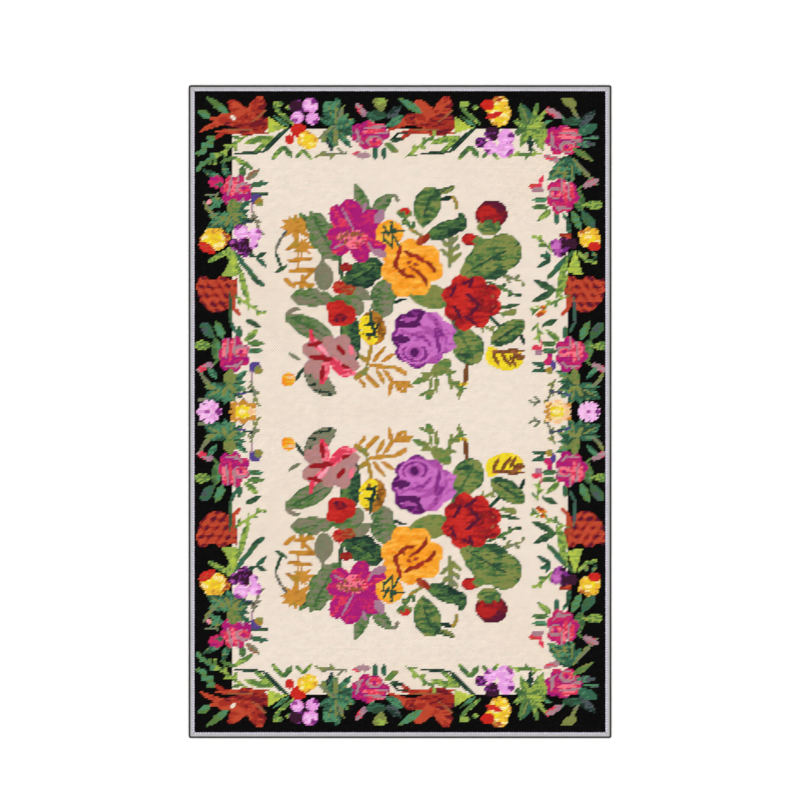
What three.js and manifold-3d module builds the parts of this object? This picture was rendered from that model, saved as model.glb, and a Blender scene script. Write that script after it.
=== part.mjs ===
// A flat needlepoint rug with a mitred binding and a dark cord sewn round its outer edge.
// Millimetres. X is the width, Y the length and Z up. The origin is on the floor under the middle of the rug.
import * as THREE from "three";
import { mergeVertices } from "three/addons/utils/BufferGeometryUtils.js";
import Module from "manifold-3d";

const wasm = await Module();
wasm.setup();

// Driving dimensions
const RUG_WIDTH = 1000;
const RUG_LENGTH = 1544;
const CLOTH_THICKNESS = 5;
const CORD_DIAMETER = 4.6;
const BINDING_BAND = 9.4;
const TAPE_THICKNESS = 1.2;
const SEWN_GAP = 0.3;

// Binding: a tape folded round the edge of the cloth, a little proud of it
const BINDING_HEIGHT = CLOTH_THICKNESS + 0.4;
const BAND_CROWN = 0.3;
const BINDING_INSET = CORD_DIAMETER + SEWN_GAP;
const FACE_INSET = BINDING_INSET + BINDING_BAND + SEWN_GAP;

// Hem: the pressed edge of the cloth that runs inside the fold of the tape
const HEM_INSET = BINDING_INSET + TAPE_THICKNESS + SEWN_GAP;
const HEM_BOTTOM = TAPE_THICKNESS + SEWN_GAP;
const HEM_TOP = BINDING_HEIGHT - TAPE_THICKNESS - SEWN_GAP;

// Cord: the radius of its middle line at a corner, and how far it lies above the floor
const CORD_CORNER = 2.5;
const CORD_LIFT = 0.2;
const CORD_CORE = 0.2;

const woolFace = new THREE.MeshStandardMaterial({ color: 0xe9dccb, roughness: 0.95, metalness: 0 });
const bindingTape = new THREE.MeshStandardMaterial({ color: 0xbebbc2, roughness: 0.85, metalness: 0 });
const darkCord = new THREE.MeshStandardMaterial({ color: 0x54524a, roughness: 0.85, metalness: 0 });

// A closed geometry as a solid that can be joined to another.
function solidOf(geometry) {
  const bare = geometry.clone();
  bare.deleteAttribute("normal");
  bare.deleteAttribute("uv");
  const merged = mergeVertices(bare, 1e-3);
  return new wasm.Manifold(
    new wasm.Mesh({
      numProp: 3,
      vertProperties: merged.attributes.position.array,
      triVerts: new Uint32Array(merged.index.array),
    }),
  );
}

function geometryOf(solid) {
  const mesh = solid.getMesh();
  const geometry = new THREE.BufferGeometry();
  geometry.setAttribute("position", new THREE.BufferAttribute(mesh.vertProperties, 3));
  geometry.setIndex(new THREE.BufferAttribute(mesh.triVerts, 1));
  geometry.computeVertexNormals();
  return geometry;
}

// A flat layer of the cloth, its edge the given distance in from the edge of the rug.
function layer(inset, bottom, top) {
  const box = new THREE.BoxGeometry(RUG_WIDTH - 2 * inset, RUG_LENGTH - 2 * inset, top - bottom);
  return box.translate(0, 0, (bottom + top) / 2);
}

// The stitched cloth: its full thickness inside the binding, and the pressed hem that the tape holds.
function needlepointPanel() {
  const body = solidOf(layer(FACE_INSET, 0, CLOTH_THICKNESS));
  const hem = solidOf(layer(HEM_INSET, HEM_BOTTOM, HEM_TOP));
  return geometryOf(body.add(hem));
}

// The tape's section, open towards the cloth: first number in from the rug's edge, second up from the floor.
function bindingSection() {
  const outer = BINDING_INSET;
  const inner = BINDING_INSET + BINDING_BAND;
  const fold = BINDING_INSET + TAPE_THICKNESS;
  const section = new THREE.Shape();
  section.moveTo(outer, 0);
  section.lineTo(inner, 0);
  section.lineTo(inner, TAPE_THICKNESS);
  section.lineTo(fold, TAPE_THICKNESS);
  section.lineTo(fold, BINDING_HEIGHT - TAPE_THICKNESS);
  section.lineTo(inner, BINDING_HEIGHT - TAPE_THICKNESS);
  section.lineTo(inner, BINDING_HEIGHT - BAND_CROWN);
  section.quadraticCurveTo((outer + inner) / 2, BINDING_HEIGHT + 3 * BAND_CROWN, outer, BINDING_HEIGHT - BAND_CROWN);
  section.closePath();
  return section;
}

// One side's strip of tape, its two ends cut at 45 degrees where it meets the next strip.
function bindingStrip(sideLength) {
  const strip = new THREE.ExtrudeGeometry(bindingSection(), {
    depth: sideLength,
    bevelEnabled: false,
    curveSegments: 6,
  });
  const place = strip.attributes.position;
  const mitreGap = SEWN_GAP / Math.SQRT2;
  for (let i = 0; i < place.count; i += 1) {
    const cutBack = place.getX(i) + mitreGap;
    place.setZ(i, place.getZ(i) === 0 ? cutBack : sideLength - cutBack);
  }
  // From the drawing's axes to the rug's: along the strip is Y, up is Z
  const toRug = new THREE.Matrix4().makeBasis(
    new THREE.Vector3(1, 0, 0),
    new THREE.Vector3(0, 0, 1),
    new THREE.Vector3(0, -1, 0),
  );
  strip.applyMatrix4(toRug);
  strip.translate(0, sideLength / 2, 0);
  strip.computeVertexNormals();
  return strip;
}

// A rectangle with rounded corners, the given distance in from the edge of the rug.
function roundedOutline(path, inset, corner) {
  const x = RUG_WIDTH / 2 - inset;
  const y = RUG_LENGTH / 2 - inset;
  const quarter = Math.PI / 2;
  path.moveTo(x, corner - y);
  path.absarc(x - corner, y - corner, corner, 0, quarter);
  path.absarc(corner - x, y - corner, corner, quarter, 2 * quarter);
  path.absarc(corner - x, corner - y, corner, 2 * quarter, 3 * quarter);
  path.absarc(x - corner, corner - y, corner, 3 * quarter, 4 * quarter);
  path.closePath();
  return path;
}

// The cord all round the edge: a thin core on its middle line, rounded out to its full diameter.
function edgeCord() {
  const half = CORD_CORE / 2;
  const middle = CORD_DIAMETER / 2;
  const ring = roundedOutline(new THREE.Shape(), middle - half, CORD_CORNER + half);
  ring.holes.push(roundedOutline(new THREE.Path(), middle + half, CORD_CORNER - half));
  const cord = new THREE.ExtrudeGeometry(ring, {
    depth: CORD_CORE,
    bevelThickness: middle - half,
    bevelSize: middle - half,
    bevelSegments: 4,
    curveSegments: 5,
  });
  return cord.translate(0, 0, middle - half + CORD_LIFT);
}

const rug = new THREE.Group();

function sewOn(name, geometry, material, x = 0, y = 0, turn = 0) {
  const mesh = new THREE.Mesh(geometry, material);
  mesh.name = name;
  mesh.position.set(x, y, 0);
  mesh.rotation.z = turn;
  rug.add(mesh);
}

sewOn("needlepoint_panel", needlepointPanel(), woolFace);
sewOn("binding_left", bindingStrip(RUG_LENGTH), bindingTape, -RUG_WIDTH / 2, 0, 0);
sewOn("binding_right", bindingStrip(RUG_LENGTH), bindingTape, RUG_WIDTH / 2, 0, Math.PI);
sewOn("binding_near", bindingStrip(RUG_WIDTH), bindingTape, 0, -RUG_LENGTH / 2, Math.PI / 2);
sewOn("binding_far", bindingStrip(RUG_WIDTH), bindingTape, 0, RUG_LENGTH / 2, -Math.PI / 2);
sewOn("edge_cord", edgeCord(), darkCord);

export default rug;
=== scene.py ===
"""A wool area rug worked in counted slanting stitches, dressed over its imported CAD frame.

Lengths are in metres, as in the frame. The stitched picture counts in stitches from the rug's middle,
X to the right and Y to the far end, and its far half is repeated upside down on the near half.
"""

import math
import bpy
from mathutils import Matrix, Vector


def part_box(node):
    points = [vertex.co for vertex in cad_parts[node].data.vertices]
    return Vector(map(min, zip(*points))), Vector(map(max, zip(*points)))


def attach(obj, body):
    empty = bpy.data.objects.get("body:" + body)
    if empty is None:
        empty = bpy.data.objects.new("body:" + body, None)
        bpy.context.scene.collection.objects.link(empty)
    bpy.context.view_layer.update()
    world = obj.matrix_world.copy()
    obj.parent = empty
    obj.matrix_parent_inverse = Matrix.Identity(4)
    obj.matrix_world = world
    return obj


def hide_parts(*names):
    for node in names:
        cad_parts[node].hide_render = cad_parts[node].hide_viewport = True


bl_info = {
    "name": "Counted-stitch floral rug",
    "version": (1, 0, 0),
    "blender": (4, 5, 0),
    "location": "3D View > Sidebar > Rug",
    "description": "Works a bound wool rug with a floral border and two bouquets over its frame",
    "category": "Add Mesh",
}

import bpy
import numpy as np

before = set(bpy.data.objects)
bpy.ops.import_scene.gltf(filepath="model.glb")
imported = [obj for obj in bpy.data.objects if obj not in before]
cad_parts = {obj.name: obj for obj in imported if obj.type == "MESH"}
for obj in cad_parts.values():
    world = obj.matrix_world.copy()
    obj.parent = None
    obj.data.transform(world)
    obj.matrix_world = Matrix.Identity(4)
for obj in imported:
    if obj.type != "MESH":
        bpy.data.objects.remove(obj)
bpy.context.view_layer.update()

MM = 0.001
SEED = 7                            # of every random draw
COLUMNS, ROWS = 240, 374            # stitches across and along the rug
HALF = ROWS // 2
BREADTHS = 4                        # strips of canvas that the face is worked in
SEAM_GAP = 0.3 * MM                 # between the face and its binding, as in the frame
SIDES = ("left", "right", "near", "far")

panel_low, panel_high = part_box("needlepoint_panel")
left_low, left_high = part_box("binding_left")
_, near_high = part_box("binding_near")
cord_low, cord_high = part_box("edge_cord")
FACE_X = -(left_high.x + SEAM_GAP)  # half the width of the stitched face
FACE_Y = -(near_high.y + SEAM_GAP)  # half its length
PITCH_X = 2 * FACE_X / COLUMNS
PITCH_Y = 2 * FACE_Y / ROWS
BAND = left_high.x - left_low.x     # width of the binding
GROUND_X, GROUND_Y = 98.5, 165.5    # half width and half length of the pale ground, in stitches
SOFTNESS = 5                        # how steeply the noise drops off below the size of its patches


def linear(colour):
    """An sRGB hex colour as linear red, green and blue."""
    parts = [int(colour[i:i + 2], 16) / 255 for i in (0, 2, 4)]
    return tuple(p / 12.92 if p <= 0.04045 else ((p + 0.055) / 1.055) ** 2.4 for p in parts)


# The wools, by name. Cream and jet are the ground and the border, which the panel's colours can change.
WOOLS = {
    "cream": "f1e3d4", "jet": "0b0a0a", "pine": "31513c", "ivy": "466a41", "fern": "5f8446",
    "moss": "868e4c", "sage": "7d8466", "stone": "8a806c", "night": "243a31", "slate": "505a5e",
    "teal": "3a6c54", "jade": "55906a", "lime": "9cb552", "sprout": "bccb4c", "gold": "cf9239",
    "ochre": "b97c2c", "straw": "b08c34", "bronze": "8c5a24", "cocoa": "7a4a2a", "clay": "a15f3c",
    "amber": "fca72e", "orange": "f59420", "apricot": "ffb94a", "sun": "f2c238", "lemon": "f3da2c",
    "butter": "fbe7a0", "peach": "f7c79a", "rust": "b04a2c", "brick": "9c3322", "flame": "c44c32",
    "ember": "ac3428", "poppy": "d0302a", "scarlet": "d2281e", "ruby": "bd2826", "crimson": "9e2028",
    "maroon": "7d2028", "wine": "5e1c36", "plum": "5c2160", "violet": "8c3489", "orchid": "b455a9",
    "lilac": "cf74c4", "lavender": "eda6e6", "pink": "f7c4f0", "grape": "7a2f86", "damson": "3e1c33",
    "bluebell": "5b4690", "mauve": "ad7f97", "dove": "b08a93", "dusty": "bb8884", "magenta": "b0207a",
    "cerise": "cc2c68", "coral": "e4405c", "rose": "f57a8e", "blush": "f6a3b4",
}
NUMBER = {name: place for place, name in enumerate(WOOLS)}

# Ramps, the wools that a petal or leaf is shaded with. A wool named twice takes a larger share of it.
GREENS = ("pine", "ivy", "fern", "moss", "moss")
DEEPS = ("night", "pine", "ivy", "fern")
SAGES = ("ivy", "fern", "sage", "stone")
TEALS = ("pine", "teal", "jade", "moss")
BLUEGREENS = ("pine", "teal", "jade")
LIMES = ("fern", "lime")
GOLDS = ("ochre", "gold", "gold", "straw")
REDS = ("maroon", "crimson", "ruby", "poppy")
AMBERS = ("orange", "amber", "amber", "apricot")
ORCHIDS = ("violet", "orchid", "lilac", "lilac")
FLAMES = ("maroon", "ember", "flame")
PINKS = ("coral", "rose")
BANDS = ("cerise", "coral", "rose")
CERISES = ("magenta", "cerise")
SCARLETS = ("scarlet", "poppy")
SPROUTS = ("lime", "sprout")
SHADY = ("pine", "teal")
DARK = ("pine", "ivy")
COOL = ("teal", "jade")
BLUISH = ("slate", "night")
DRY = ("sage", "moss")
MOSSY = ("moss", "fern")
STRAWS = ("straw", "moss")
GREY = ("sage", "stone")
TWIG = ("moss", "sage")

AT_X, AT_Y = np.meshgrid(np.arange(COLUMNS) - COLUMNS / 2 + 0.5, HALF - 0.5 - np.arange(HALF))
chart = np.zeros(AT_X.shape, int)   # the wool of each stitch of the far half, the far row first


def ranked(values):
    """The same pattern, its values spread evenly from 0 to 1."""
    return (values.ravel().argsort().argsort() / values.size).reshape(values.shape)


def patches(draw, wide, high):
    """Even noise from 0 to 1 over the far half, its patches about wide by high stitches."""
    raw = np.random.default_rng(SEED + draw).standard_normal(chart.shape)
    down, across = np.fft.fftfreq(HALF)[:, None], np.fft.fftfreq(COLUMNS)[None]
    kept = np.exp(-SOFTNESS * ((across * wide) ** 2 + (down * high) ** 2))
    return ranked(np.fft.ifft2(np.fft.fft2(raw) * kept).real)


STREAKS, BLOTCHES, SPECKS = patches(1, 3, 0.7), patches(2, 5, 4), patches(3, 0.6, 0.6)
MOTTLE = ranked(0.42 * STREAKS + 0.33 * BLOTCHES + 0.25 * SPECKS)


def work(inside, ramp, shade=0.5, mottle=0.6):
    """Works the stitches of a shape, each in the wool of the ramp that its shade asks for."""
    ramp = (ramp,) if isinstance(ramp, str) else ramp
    value = np.broadcast_to(shade + mottle * (MOTTLE - 0.5), chart.shape)
    picks = np.clip((value * len(ramp)).astype(int), 0, len(ramp) - 1)
    chart[inside] = np.array([NUMBER[name] for name in ramp])[picks[inside]]


def blade(x, y, angle, length, width, bend=0.0, widest=0.5, blunt=0.6, teeth=0):
    """A tapered shape that bends from its root: its stitches, and how far along and to the side each is."""
    steps = max(8, int(length * 2))
    t = (np.arange(steps) + 0.5) / steps
    way = np.radians(angle + bend * t)
    spine_x = x + np.cumsum(np.cos(way)) * length / steps
    spine_y = y + np.cumsum(np.sin(way)) * length / steps
    half = width / 2 * np.sin(np.pi * t ** (math.log(0.5) / math.log(widest))) ** blunt
    if teeth:
        half = half * (1 - 0.4 * ((t * teeth) % 1))
    half = np.maximum(half, 0.55)
    near = ((AT_X > spine_x.min() - width) & (AT_X < spine_x.max() + width)
            & (AT_Y > spine_y.min() - width) & (AT_Y < spine_y.max() + width))
    over, up = AT_X[near][:, None] - spine_x, AT_Y[near][:, None] - spine_y
    away = np.hypot(over, up) / half
    nearest = away.argmin(1)
    row = np.arange(len(nearest))
    inside, along, side = np.zeros(chart.shape, bool), np.zeros(chart.shape), np.zeros(chart.shape)
    inside[near] = away[row, nearest] <= 1
    along[near] = t[nearest]
    square = np.cos(way)[nearest] * up[row, nearest] - np.sin(way)[nearest] * over[row, nearest]
    side[near] = square / half[nearest]
    return inside, along, side


def oval(x, y, wide, high=None, turn=0.0):
    """An oval: its stitches, and how far out each is."""
    c, s = math.cos(math.radians(turn)), math.sin(math.radians(turn))
    over, up = AT_X - x, AT_Y - y
    out = np.hypot((over * c + up * s) / wide, (up * c - over * s) / (high or wide))
    return out <= 1, out


def dab(place, ramp, shade=0.5, mottle=0.6):
    """Works a small oval patch; its place is what an oval is given."""
    work(oval(*place)[0], ramp, shade, mottle)


def scalloped(x, y, wide, high, lobes, depth, turn=0.0):
    """A round bloom with a scalloped edge: its stitches, and how far out each is."""
    over, up = (AT_X - x) / wide, (AT_Y - y) / high
    bearing = np.arctan2(up, over) - math.radians(turn)
    rim = 1 - depth + depth * np.abs(np.sin(lobes * bearing / 2)) + 0.05 * np.sin(3 * bearing + 1.3)
    out = np.hypot(over, up) / rim
    return out <= 1, out


def facet(*corners):
    """The stitches inside a flat-sided shape, its corners given against the clock."""
    inside = np.ones(chart.shape, bool)
    for (x, y), (next_x, next_y) in zip(corners, corners[1:] + corners[:1]):
        inside &= (next_x - x) * (AT_Y - y) >= (next_y - y) * (AT_X - x)
    return inside


def strokes(x, y, rows, turn=0.0, grow=1.0, within=None, flip=1):
    """Works a flower's strokes, given in its own stitches and turned, grown and flipped with it.

    A row is: over, up, angle, length, width, bend, wools.
    """
    c, s = math.cos(math.radians(turn)), math.sin(math.radians(turn))
    for over, up, angle, length, width, bend, ramp in rows:
        shape, _, _ = blade(x + flip * grow * (c * over - s * up), y + grow * (s * over + c * up),
                            turned(angle + turn, flip), length * grow, width * grow, flip * bend, 0.5, 0.4)
        work(shape if within is None else shape & within, ramp, 0.6)


def turned(angle, flip):
    """An angle as it stands, or as a mirror shows it where flip is -1."""
    return angle if flip > 0 else 180 - angle


def leaf(x, y, angle, length, width, ramp=GREENS, bend=0.0, widest=0.45, teeth=0, rib=None):
    """A leaf, dark on one side of its rib and along its edges."""
    inside, along, side = blade(x, y, angle, length, width, bend, widest, 0.75, teeth)
    shade = 0.52 + 0.12 * np.sign(side) * (np.abs(side) < 0.85) - 0.22 * (np.abs(side) > 0.85)
    work(inside, ramp, shade, 0.75)
    if rib:
        work(inside & (np.abs(side) * width < 1.4) & (along > 0.08) & (along < 0.85), rib)


def stem(x, y, angle, length, width=1.4, ramp="pine", bend=0.0):
    """A stem, curl or bar of even width."""
    work(blade(x, y, angle, length, width, bend, 0.5, 0.3)[0], ramp, 0.5, 0.8)


def sprig(x, y, angle, length, ramp, twigs=5, reach=6.0, bend=0.0, width=1.7):
    """A stem with short twigs to either side."""
    stem(x, y, angle, length, width, ramp, bend)
    for twig in range(twigs):
        t = 0.15 + 0.85 * twig / max(twigs - 1, 1)
        way = math.radians(angle + bend * t / 2)
        hand = 48 if twig % 2 else -48
        stem(x + math.cos(way) * length * t, y + math.sin(way) * length * t, angle + bend * t + hand,
             reach * (1.05 - 0.5 * t), width, ramp)


LEAF_TEETH, BROAD_LEAF = 4, 5.5     # teeth of a spray's leaves, and the width past which they are ribbed


def spray(x, y, rows, flip=1):
    """Leaves fanned from one point, the broad ones ribbed; a row is angle, length, width, wools."""
    for angle, length, width, ramp in rows:
        leaf(x, y, turned(angle, flip), length, width, ramp, 8 * flip, 0.5, LEAF_TEETH,
             "moss" if width > BROAD_LEAF else None)


def orange_rose(x, y):
    """The amber rose at the head of the bouquet, its petals parted by dark folds."""
    inside, out = scalloped(x, y, 19, 17.5, 7, 0.17, 14)
    work(inside, AMBERS, 0.45 + 0.2 * out, 0.75)
    strokes(x, y, ((-6, 12.5, -106, 8, 2.8, 0, "ember"), (-4, 9.5, -28, 7, 2.6, 0, "brick"),
                   (1, 7.4, -20, 8, 3.0, -25, "ember"), (8.5, 4, -36, 9, 2.6, -30, "brick"),
                   (-8.5, 6, -98, 7, 2.8, 10, "brick"), (-8, 0, -55, 7, 2.6, 30, "brick"),
                   (-4.5, -4.2, -20, 7, 2.4, 20, "brick"), (-3, 3, 10, 3, 1.8, 0, "rust"),
                   (-1, 0.6, -30, 4, 1.8, 0, "rust"), (1.5, 3, -40, 3, 1.8, 0, "rust"),
                   (-4, -0.5, -90, 3, 1.8, 0, "rust"), (2, -1.5, -25, 6, 2.6, -30, "brick"),
                   (6.4, -4, -62, 7, 2.6, -10, "brick"), (-14, -4, 40, 7, 1.6, -30, "orange"),
                   (0, -12, 10, 9, 1.6, 20, "orange")))


def red_rose(x, y):
    """The crimson rose at the right, with wine-dark folds and a clay flush on its left."""
    inside, _ = scalloped(x, y, 18, 16.5, 8, 0.17, 5)
    work(inside, REDS, 0.64, 0.6)
    work(oval(x + 8, y + 1, 8, 6, -15)[0] & (STREAKS > 0.45), ("brick", "crimson", "clay"), 0.4)
    work(oval(x + 2, y - 1, 6, 5)[0] & (SPECKS > 0.6), "maroon")
    work(oval(x - 10, y - 11, 5, 4)[0] & inside & (STREAKS > 0.45), "maroon")
    strokes(x, y, ((-6, 10, 15, 8, 2.0, 30, "wine"), (-1, 8, 70, 5, 2.0, 0, "wine"),
                   (-12, 3, 65, 7, 2.2, 0, "wine"), (-3, 5, -40, 9, 2.4, 0, "wine"),
                   (5, -1, -130, 9, 2.2, 0, "wine"), (-10, -2, -60, 9, 2.2, 0, "wine"),
                   (-4, -8, -35, 9, 2.2, 0, "wine"), (7, 10, -20, 7, 1.8, 0, "maroon"),
                   (9, -6, 20, 7, 1.8, 20, "maroon")))


def purple_rose(x, y):
    """The orchid rose at the foot, plum down its left side, with a curled heart."""
    inside, out = scalloped(x, y, 19, 17.5, 9, 0.12)
    work(inside, ORCHIDS, 0.68 + 0.1 * (AT_X - x) / 19, 0.55)
    dusk = ("plum", "violet")
    work(inside & (out > 0.88) & (AT_X - x < 2), dusk, 0.7)
    strokes(x, y, ((-15, 8, 0, 13, 4.8, 0, "plum"), (-15, 12, 14, 15, 5.0, -10, dusk),
                   (-14.5, 8, 80, 8, 3.0, 0, "plum"), (-4, 8, 60, 9, 3.0, 0, "plum"),
                   (-11, 10.4, 8, 7, 3.0, 0, "orchid"), (-18, -1.4, 8, 10, 5.0, -10, "plum"),
                   (-15.5, -2, -78, 11, 4.0, 20, dusk), (2, 15, -30, 20, 3.6, -60, ("violet", "orchid")),
                   (-9, 2, 12, 17, 2.6, -75, ("orchid", "violet")), (-2, 7, -8, 16, 3.0, -70, "orchid"),
                   (7, 6, -70, 16, 2.4, -20, "violet"), (2, -15, 16, 15, 5.0, 25, ("violet", "orchid")),
                   (13.5, 2, -80, 13, 3.0, -20, "orchid")), within=inside)
    heart, out = oval(x - 4.4, y - 8.6, 9.5, 6.5, -10)
    work(heart, ORCHIDS, 0.85, 0.3)
    work(heart & (out > 0.62) & (out < 0.84) & (AT_Y < y - 5), ("orchid", "violet"))
    dab((x - 4.4, y - 8.6, 4.4, 3.6), "orchid")
    dab((x - 4.4, y - 8.6, 2.4, 2.8), dusk, 0.3)
    strokes(x, y, ((13, -4, -10, 6, 3.6, 0, ("orchid", "lilac")),
                   (13, 3.5, 4, 6, 3.6, 0, ("lilac", "lilac", "orchid"))))


def magenta_lily(x, y):
    """The wide magenta bloom at the upper left, striped along its petals."""
    petals = ((100, 17, 15, 10, 0), (140, 19, 12, -18, 1), (178, 15, 10, 14, 1), (215, 15, 12, 10, 1),
              (48, 16, 13, -12, 0), (12, 16, 11, -10, 0), (-28, 18, 11, 10, 1), (-75, 16, 11, 0, 0),
              (-50, 13, 8, 8, 1))
    for angle, length, width, bend, flushed in petals:
        inside, along, side = blade(x, y, angle, length, width, bend, 0.62, 0.6)
        work(inside, ("magenta", "magenta", "cerise"), 0.4, 0.8)
        stripes = np.sin(side * 5 + STREAKS * 2) > 0.1
        work(inside & stripes & (along > 0.25), ("cerise", "coral", "coral") if flushed else CERISES)
    for over, up, angle, length, width in ((-8, 15, -62, 14, 1.8), (12, 6, 60, 8, 5.5), (4, 12, 70, 6, 2.4),
                                           (10, -10, -20, 8, 4.4), (7, -5, -60, 9, 1.6),
                                           (-13, -9, 30, 8, 1.8)):
        work(blade(x + over, y + up, angle, length, width)[0], "mauve")
    heart, _ = oval(x - 2, y - 2.5, 9, 5)
    work(heart, ("clay", "magenta", "clay", "coral"), 0.5, 0.9)
    work(heart & (SPECKS > 0.7), "rose")
    work(oval(x - 1, y - 6.5, 4.6, 3.0)[0] & (SPECKS > 0.25), PINKS)


def pink_lily(x, y):
    """The dusty pink bloom at the lower left, coral at its heart."""
    for angle, length, width, bend in ((160, 16, 10, -10), (200, 15, 9, 12), (225, 13, 8, 12),
                                       (95, 11, 10, -8), (52, 15, 10, 0), (15, 14, 10, -10), (-20, 17, 8, 8),
                                       (180, 8, 12, 0)):
        inside, _, side = blade(x, y, angle, length, width, bend, 0.6, 0.5)
        work(inside, ("dove", "dusty", "dusty", "peach"), 0.5 - 0.3 * (np.abs(side) > 0.8), 0.5)
    strokes(x, y, ((-11, 13, -52, 18, 4.4, 0, PINKS), (-9, 11, -50, 16, 2.2, 0, "blush"),
                   (0, 0, -45, 14, 6.4, 0, ("coral", "coral", "rose")),
                   (-1, 0, -105, 15, 5.6, 0, ("coral", "rose", "coral")), (-12, 1, -6, 14, 3.4, 0, "crimson"),
                   (-13, 8, 10, 9, 3, 0, "crimson"), (-11, 17, -85, 9, 2.6, 0, ("crimson", "coral")),
                   (4, 8, -50, 7, 3, 0, "crimson"), (7, -3, -38, 9, 2.6, 0, "crimson"),
                   (-4, -4, -95, 9, 2.6, 0, "crimson"), (12, 8, -80, 6, 3, 0, "rose"),
                   (8, -7, -15, 7, 4, 0, PINKS)))


def border_rose(x, y, turn, wide, high, flip=1):
    """The full magenta rose of the border, banded in pink with a curled heart."""
    inside, _ = scalloped(x, y, wide, high, 7, 0.2, turned(turn, flip) + 20)
    work(inside, CERISES)
    pale = "dove"
    strokes(x, y, ((-3, 6.5, 0, 11, 3.4, 0, BANDS), (-4, 4.2, 4, 14, 1.6, 0, pale),
                   (-5, 1.6, 4, 14, 3.0, 0, BANDS), (-8.5, 4, -80, 9, 1.8, 10, pale),
                   (5, 0.5, 10, 6, 1.6, 0, pale), (-9, -3, -30, 6, 1.6, 0, pale)),
            turn, 0.92, inside, flip)
    c, s = math.cos(math.radians(turn)), math.sin(math.radians(turn))
    heart_x, heart_y = x + flip * (c * 2.5 + s * 3.6), y + s * 2.5 - c * 3.6
    work(oval(heart_x, heart_y, 4.8, 3.4)[0] & inside, pale)
    work(oval(heart_x + 0.6, heart_y - 0.6, 3.6, 2.4)[0] & inside, BANDS)
    dab((heart_x, heart_y, 1.2), "magenta")


def pansy(darks, lights, wools=("lilac", "lavender", "lavender", "pink")):
    """Dark petals behind light ones, each given as its middle and size, the light ones with a dark blot."""
    for x, y, size in darks:
        dab((x, y, size, size * 0.92), ("damson", "damson", "grape", "orchid"), 0.42, 1.0)
    eye_x = sum(petal[0] for petal in darks + lights) / len(darks + lights)
    eye_y = sum(petal[1] for petal in darks + lights) / len(darks + lights)
    for x, y, size in lights:
        petal, out = oval(x, y, size, size * 0.92)
        work(petal, wools, 0.9 - 0.5 * out, 0.7)
        far = 0.7 * size / max(math.hypot(x - eye_x, y - eye_y), 1)
        blot = oval(x + far * (x - eye_x), y + far * (y - eye_y), size * 0.5, size * 0.34, 30)[0] & petal
        work(blot, ("grape", "violet", "orchid"), 0.5, 0.9)


def tulip(x, y, wide, high, turn):
    """A half-open yellow bloom of three petals, lemon at its middle and warm along its edges."""
    body, out = oval(x, y, wide * 0.72, high * 0.72)
    for spread in (-38, 0, 38):
        way = math.radians(turn + spread)
        tip_x, tip_y = x + math.cos(way) * wide * 0.55, y + math.sin(way) * high * 0.55
        body |= oval(tip_x, tip_y, wide * 0.36, high * 0.42)[0]
    work(body, ("gold", "sun", "sun", "butter"), 0.62, 0.9)
    work(body & (out < 0.75), ("sun", "lemon", "butter"), 0.5, 0.9)
    work(body & (out > 0.9) & (BLOTCHES > 0.55), ("peach", "gold", "gold", "rust"), 0.5, 0.9)


def parrot(x, y):
    """A torn flame-red bloom seen from the side, its tongues fanned to the left from a flat foot at x, y."""
    rows = ((-1, 1.6, 178, 30, 3.2, 0, 0.8), (-24, 3.4, 205, 9, 3.0, 20, 0.8),
            (-2, 4.5, 166, 28, 8.5, 0, 0.62), (-18, 8, 172, 23, 3.4, 45, 0.75),
            (-22, 8, 170, 12, 4.0, 0, 0.8), (-5, 5, 144, 22, 9.0, 0, 0.66), (-14, 11, 134, 13, 6.5, 0, 0.75),
            (-7, 4, 98, 14, 9.0, 0, 0.5), (-11, 8, 66, 15, 9.0, 0, 0.6))
    for over, up, angle, length, width, bend, shade in rows:
        inside, _, _ = blade(x + over, y + up, angle, length, width, bend, 0.5, 0.5)
        work(inside, FLAMES, shade, 0.75)
    body = oval(x - 9, y + 6, 10, 6.5, 20)[0] | oval(x - 22, y + 7.5, 8, 2.4, -15)[0]
    work(body & (BLOTCHES > 0.42) & (AT_X < x - 0.5) & (AT_Y > y), ("wine", "maroon", "ember"), 0.5, 0.9)
    strokes(x, y, ((-10, 8, 40, 10, 1.4, 0, "clay"), (-24, 3.4, 2, 14, 1.4, 0, "clay"),
                   (-6, 16, 30, 5, 2.2, 0, "maroon")))


def berry(x, y, flip=1):
    """A ripe fruit under its cut foot, speckled in rows."""
    inside, out = oval(x, y + 4, 11.9, 15)
    inside = inside & (AT_Y < y + 9 + 1.5 * np.sin((AT_X - x) / 1.8)) & (AT_Y > y - 11)
    rows = np.sin((AT_X - x) * 1.15 + (AT_Y - y) * 0.8) + np.sin((AT_Y - y) * 1.25)
    work(inside, ("wine", "maroon", "ember", "flame", "flame"), 0.6 + 0.26 * rows - 0.12 * (out > 0.9), 0.4)
    strokes(x, y, ((8.6, 6, -86, 16, 3.6, 0, ("rust", "flame")), (9.4, -8, -50, 6, 2.4, 0, "flame")), 0, 1.0,
            None, flip)


def bud(x, y, size, turn, ramp, cup, slim):
    """A closed bud, darker along its edges, between the two leaves of its cup."""
    inside, _, side = blade(x, y, turn, size * 1.15, size * slim, 0, 0.55, 0.5)
    work(inside, ramp, 0.62 - 0.3 * (np.abs(side) > 0.75))
    way = math.radians(turn)
    for hand in (-24, 24):
        leaf(x - math.cos(way) * size * 0.12, y - math.sin(way) * size * 0.12, turn + hand, size * 0.5,
             size * slim * 0.5, cup)


def bell(x, y, flip):
    """A nodding bell with its straw-coloured mouth and thin stem, its mouth to the middle of the rug."""
    dab((x, y, 3.4, 3.2), "bluebell")
    dab((x - flip * 1.8, y - 1.8, 2.6, 2.4), STRAWS)
    stem(x + flip * 2.4, y - 2, -88, 6, 1.2, "mauve")


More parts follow.
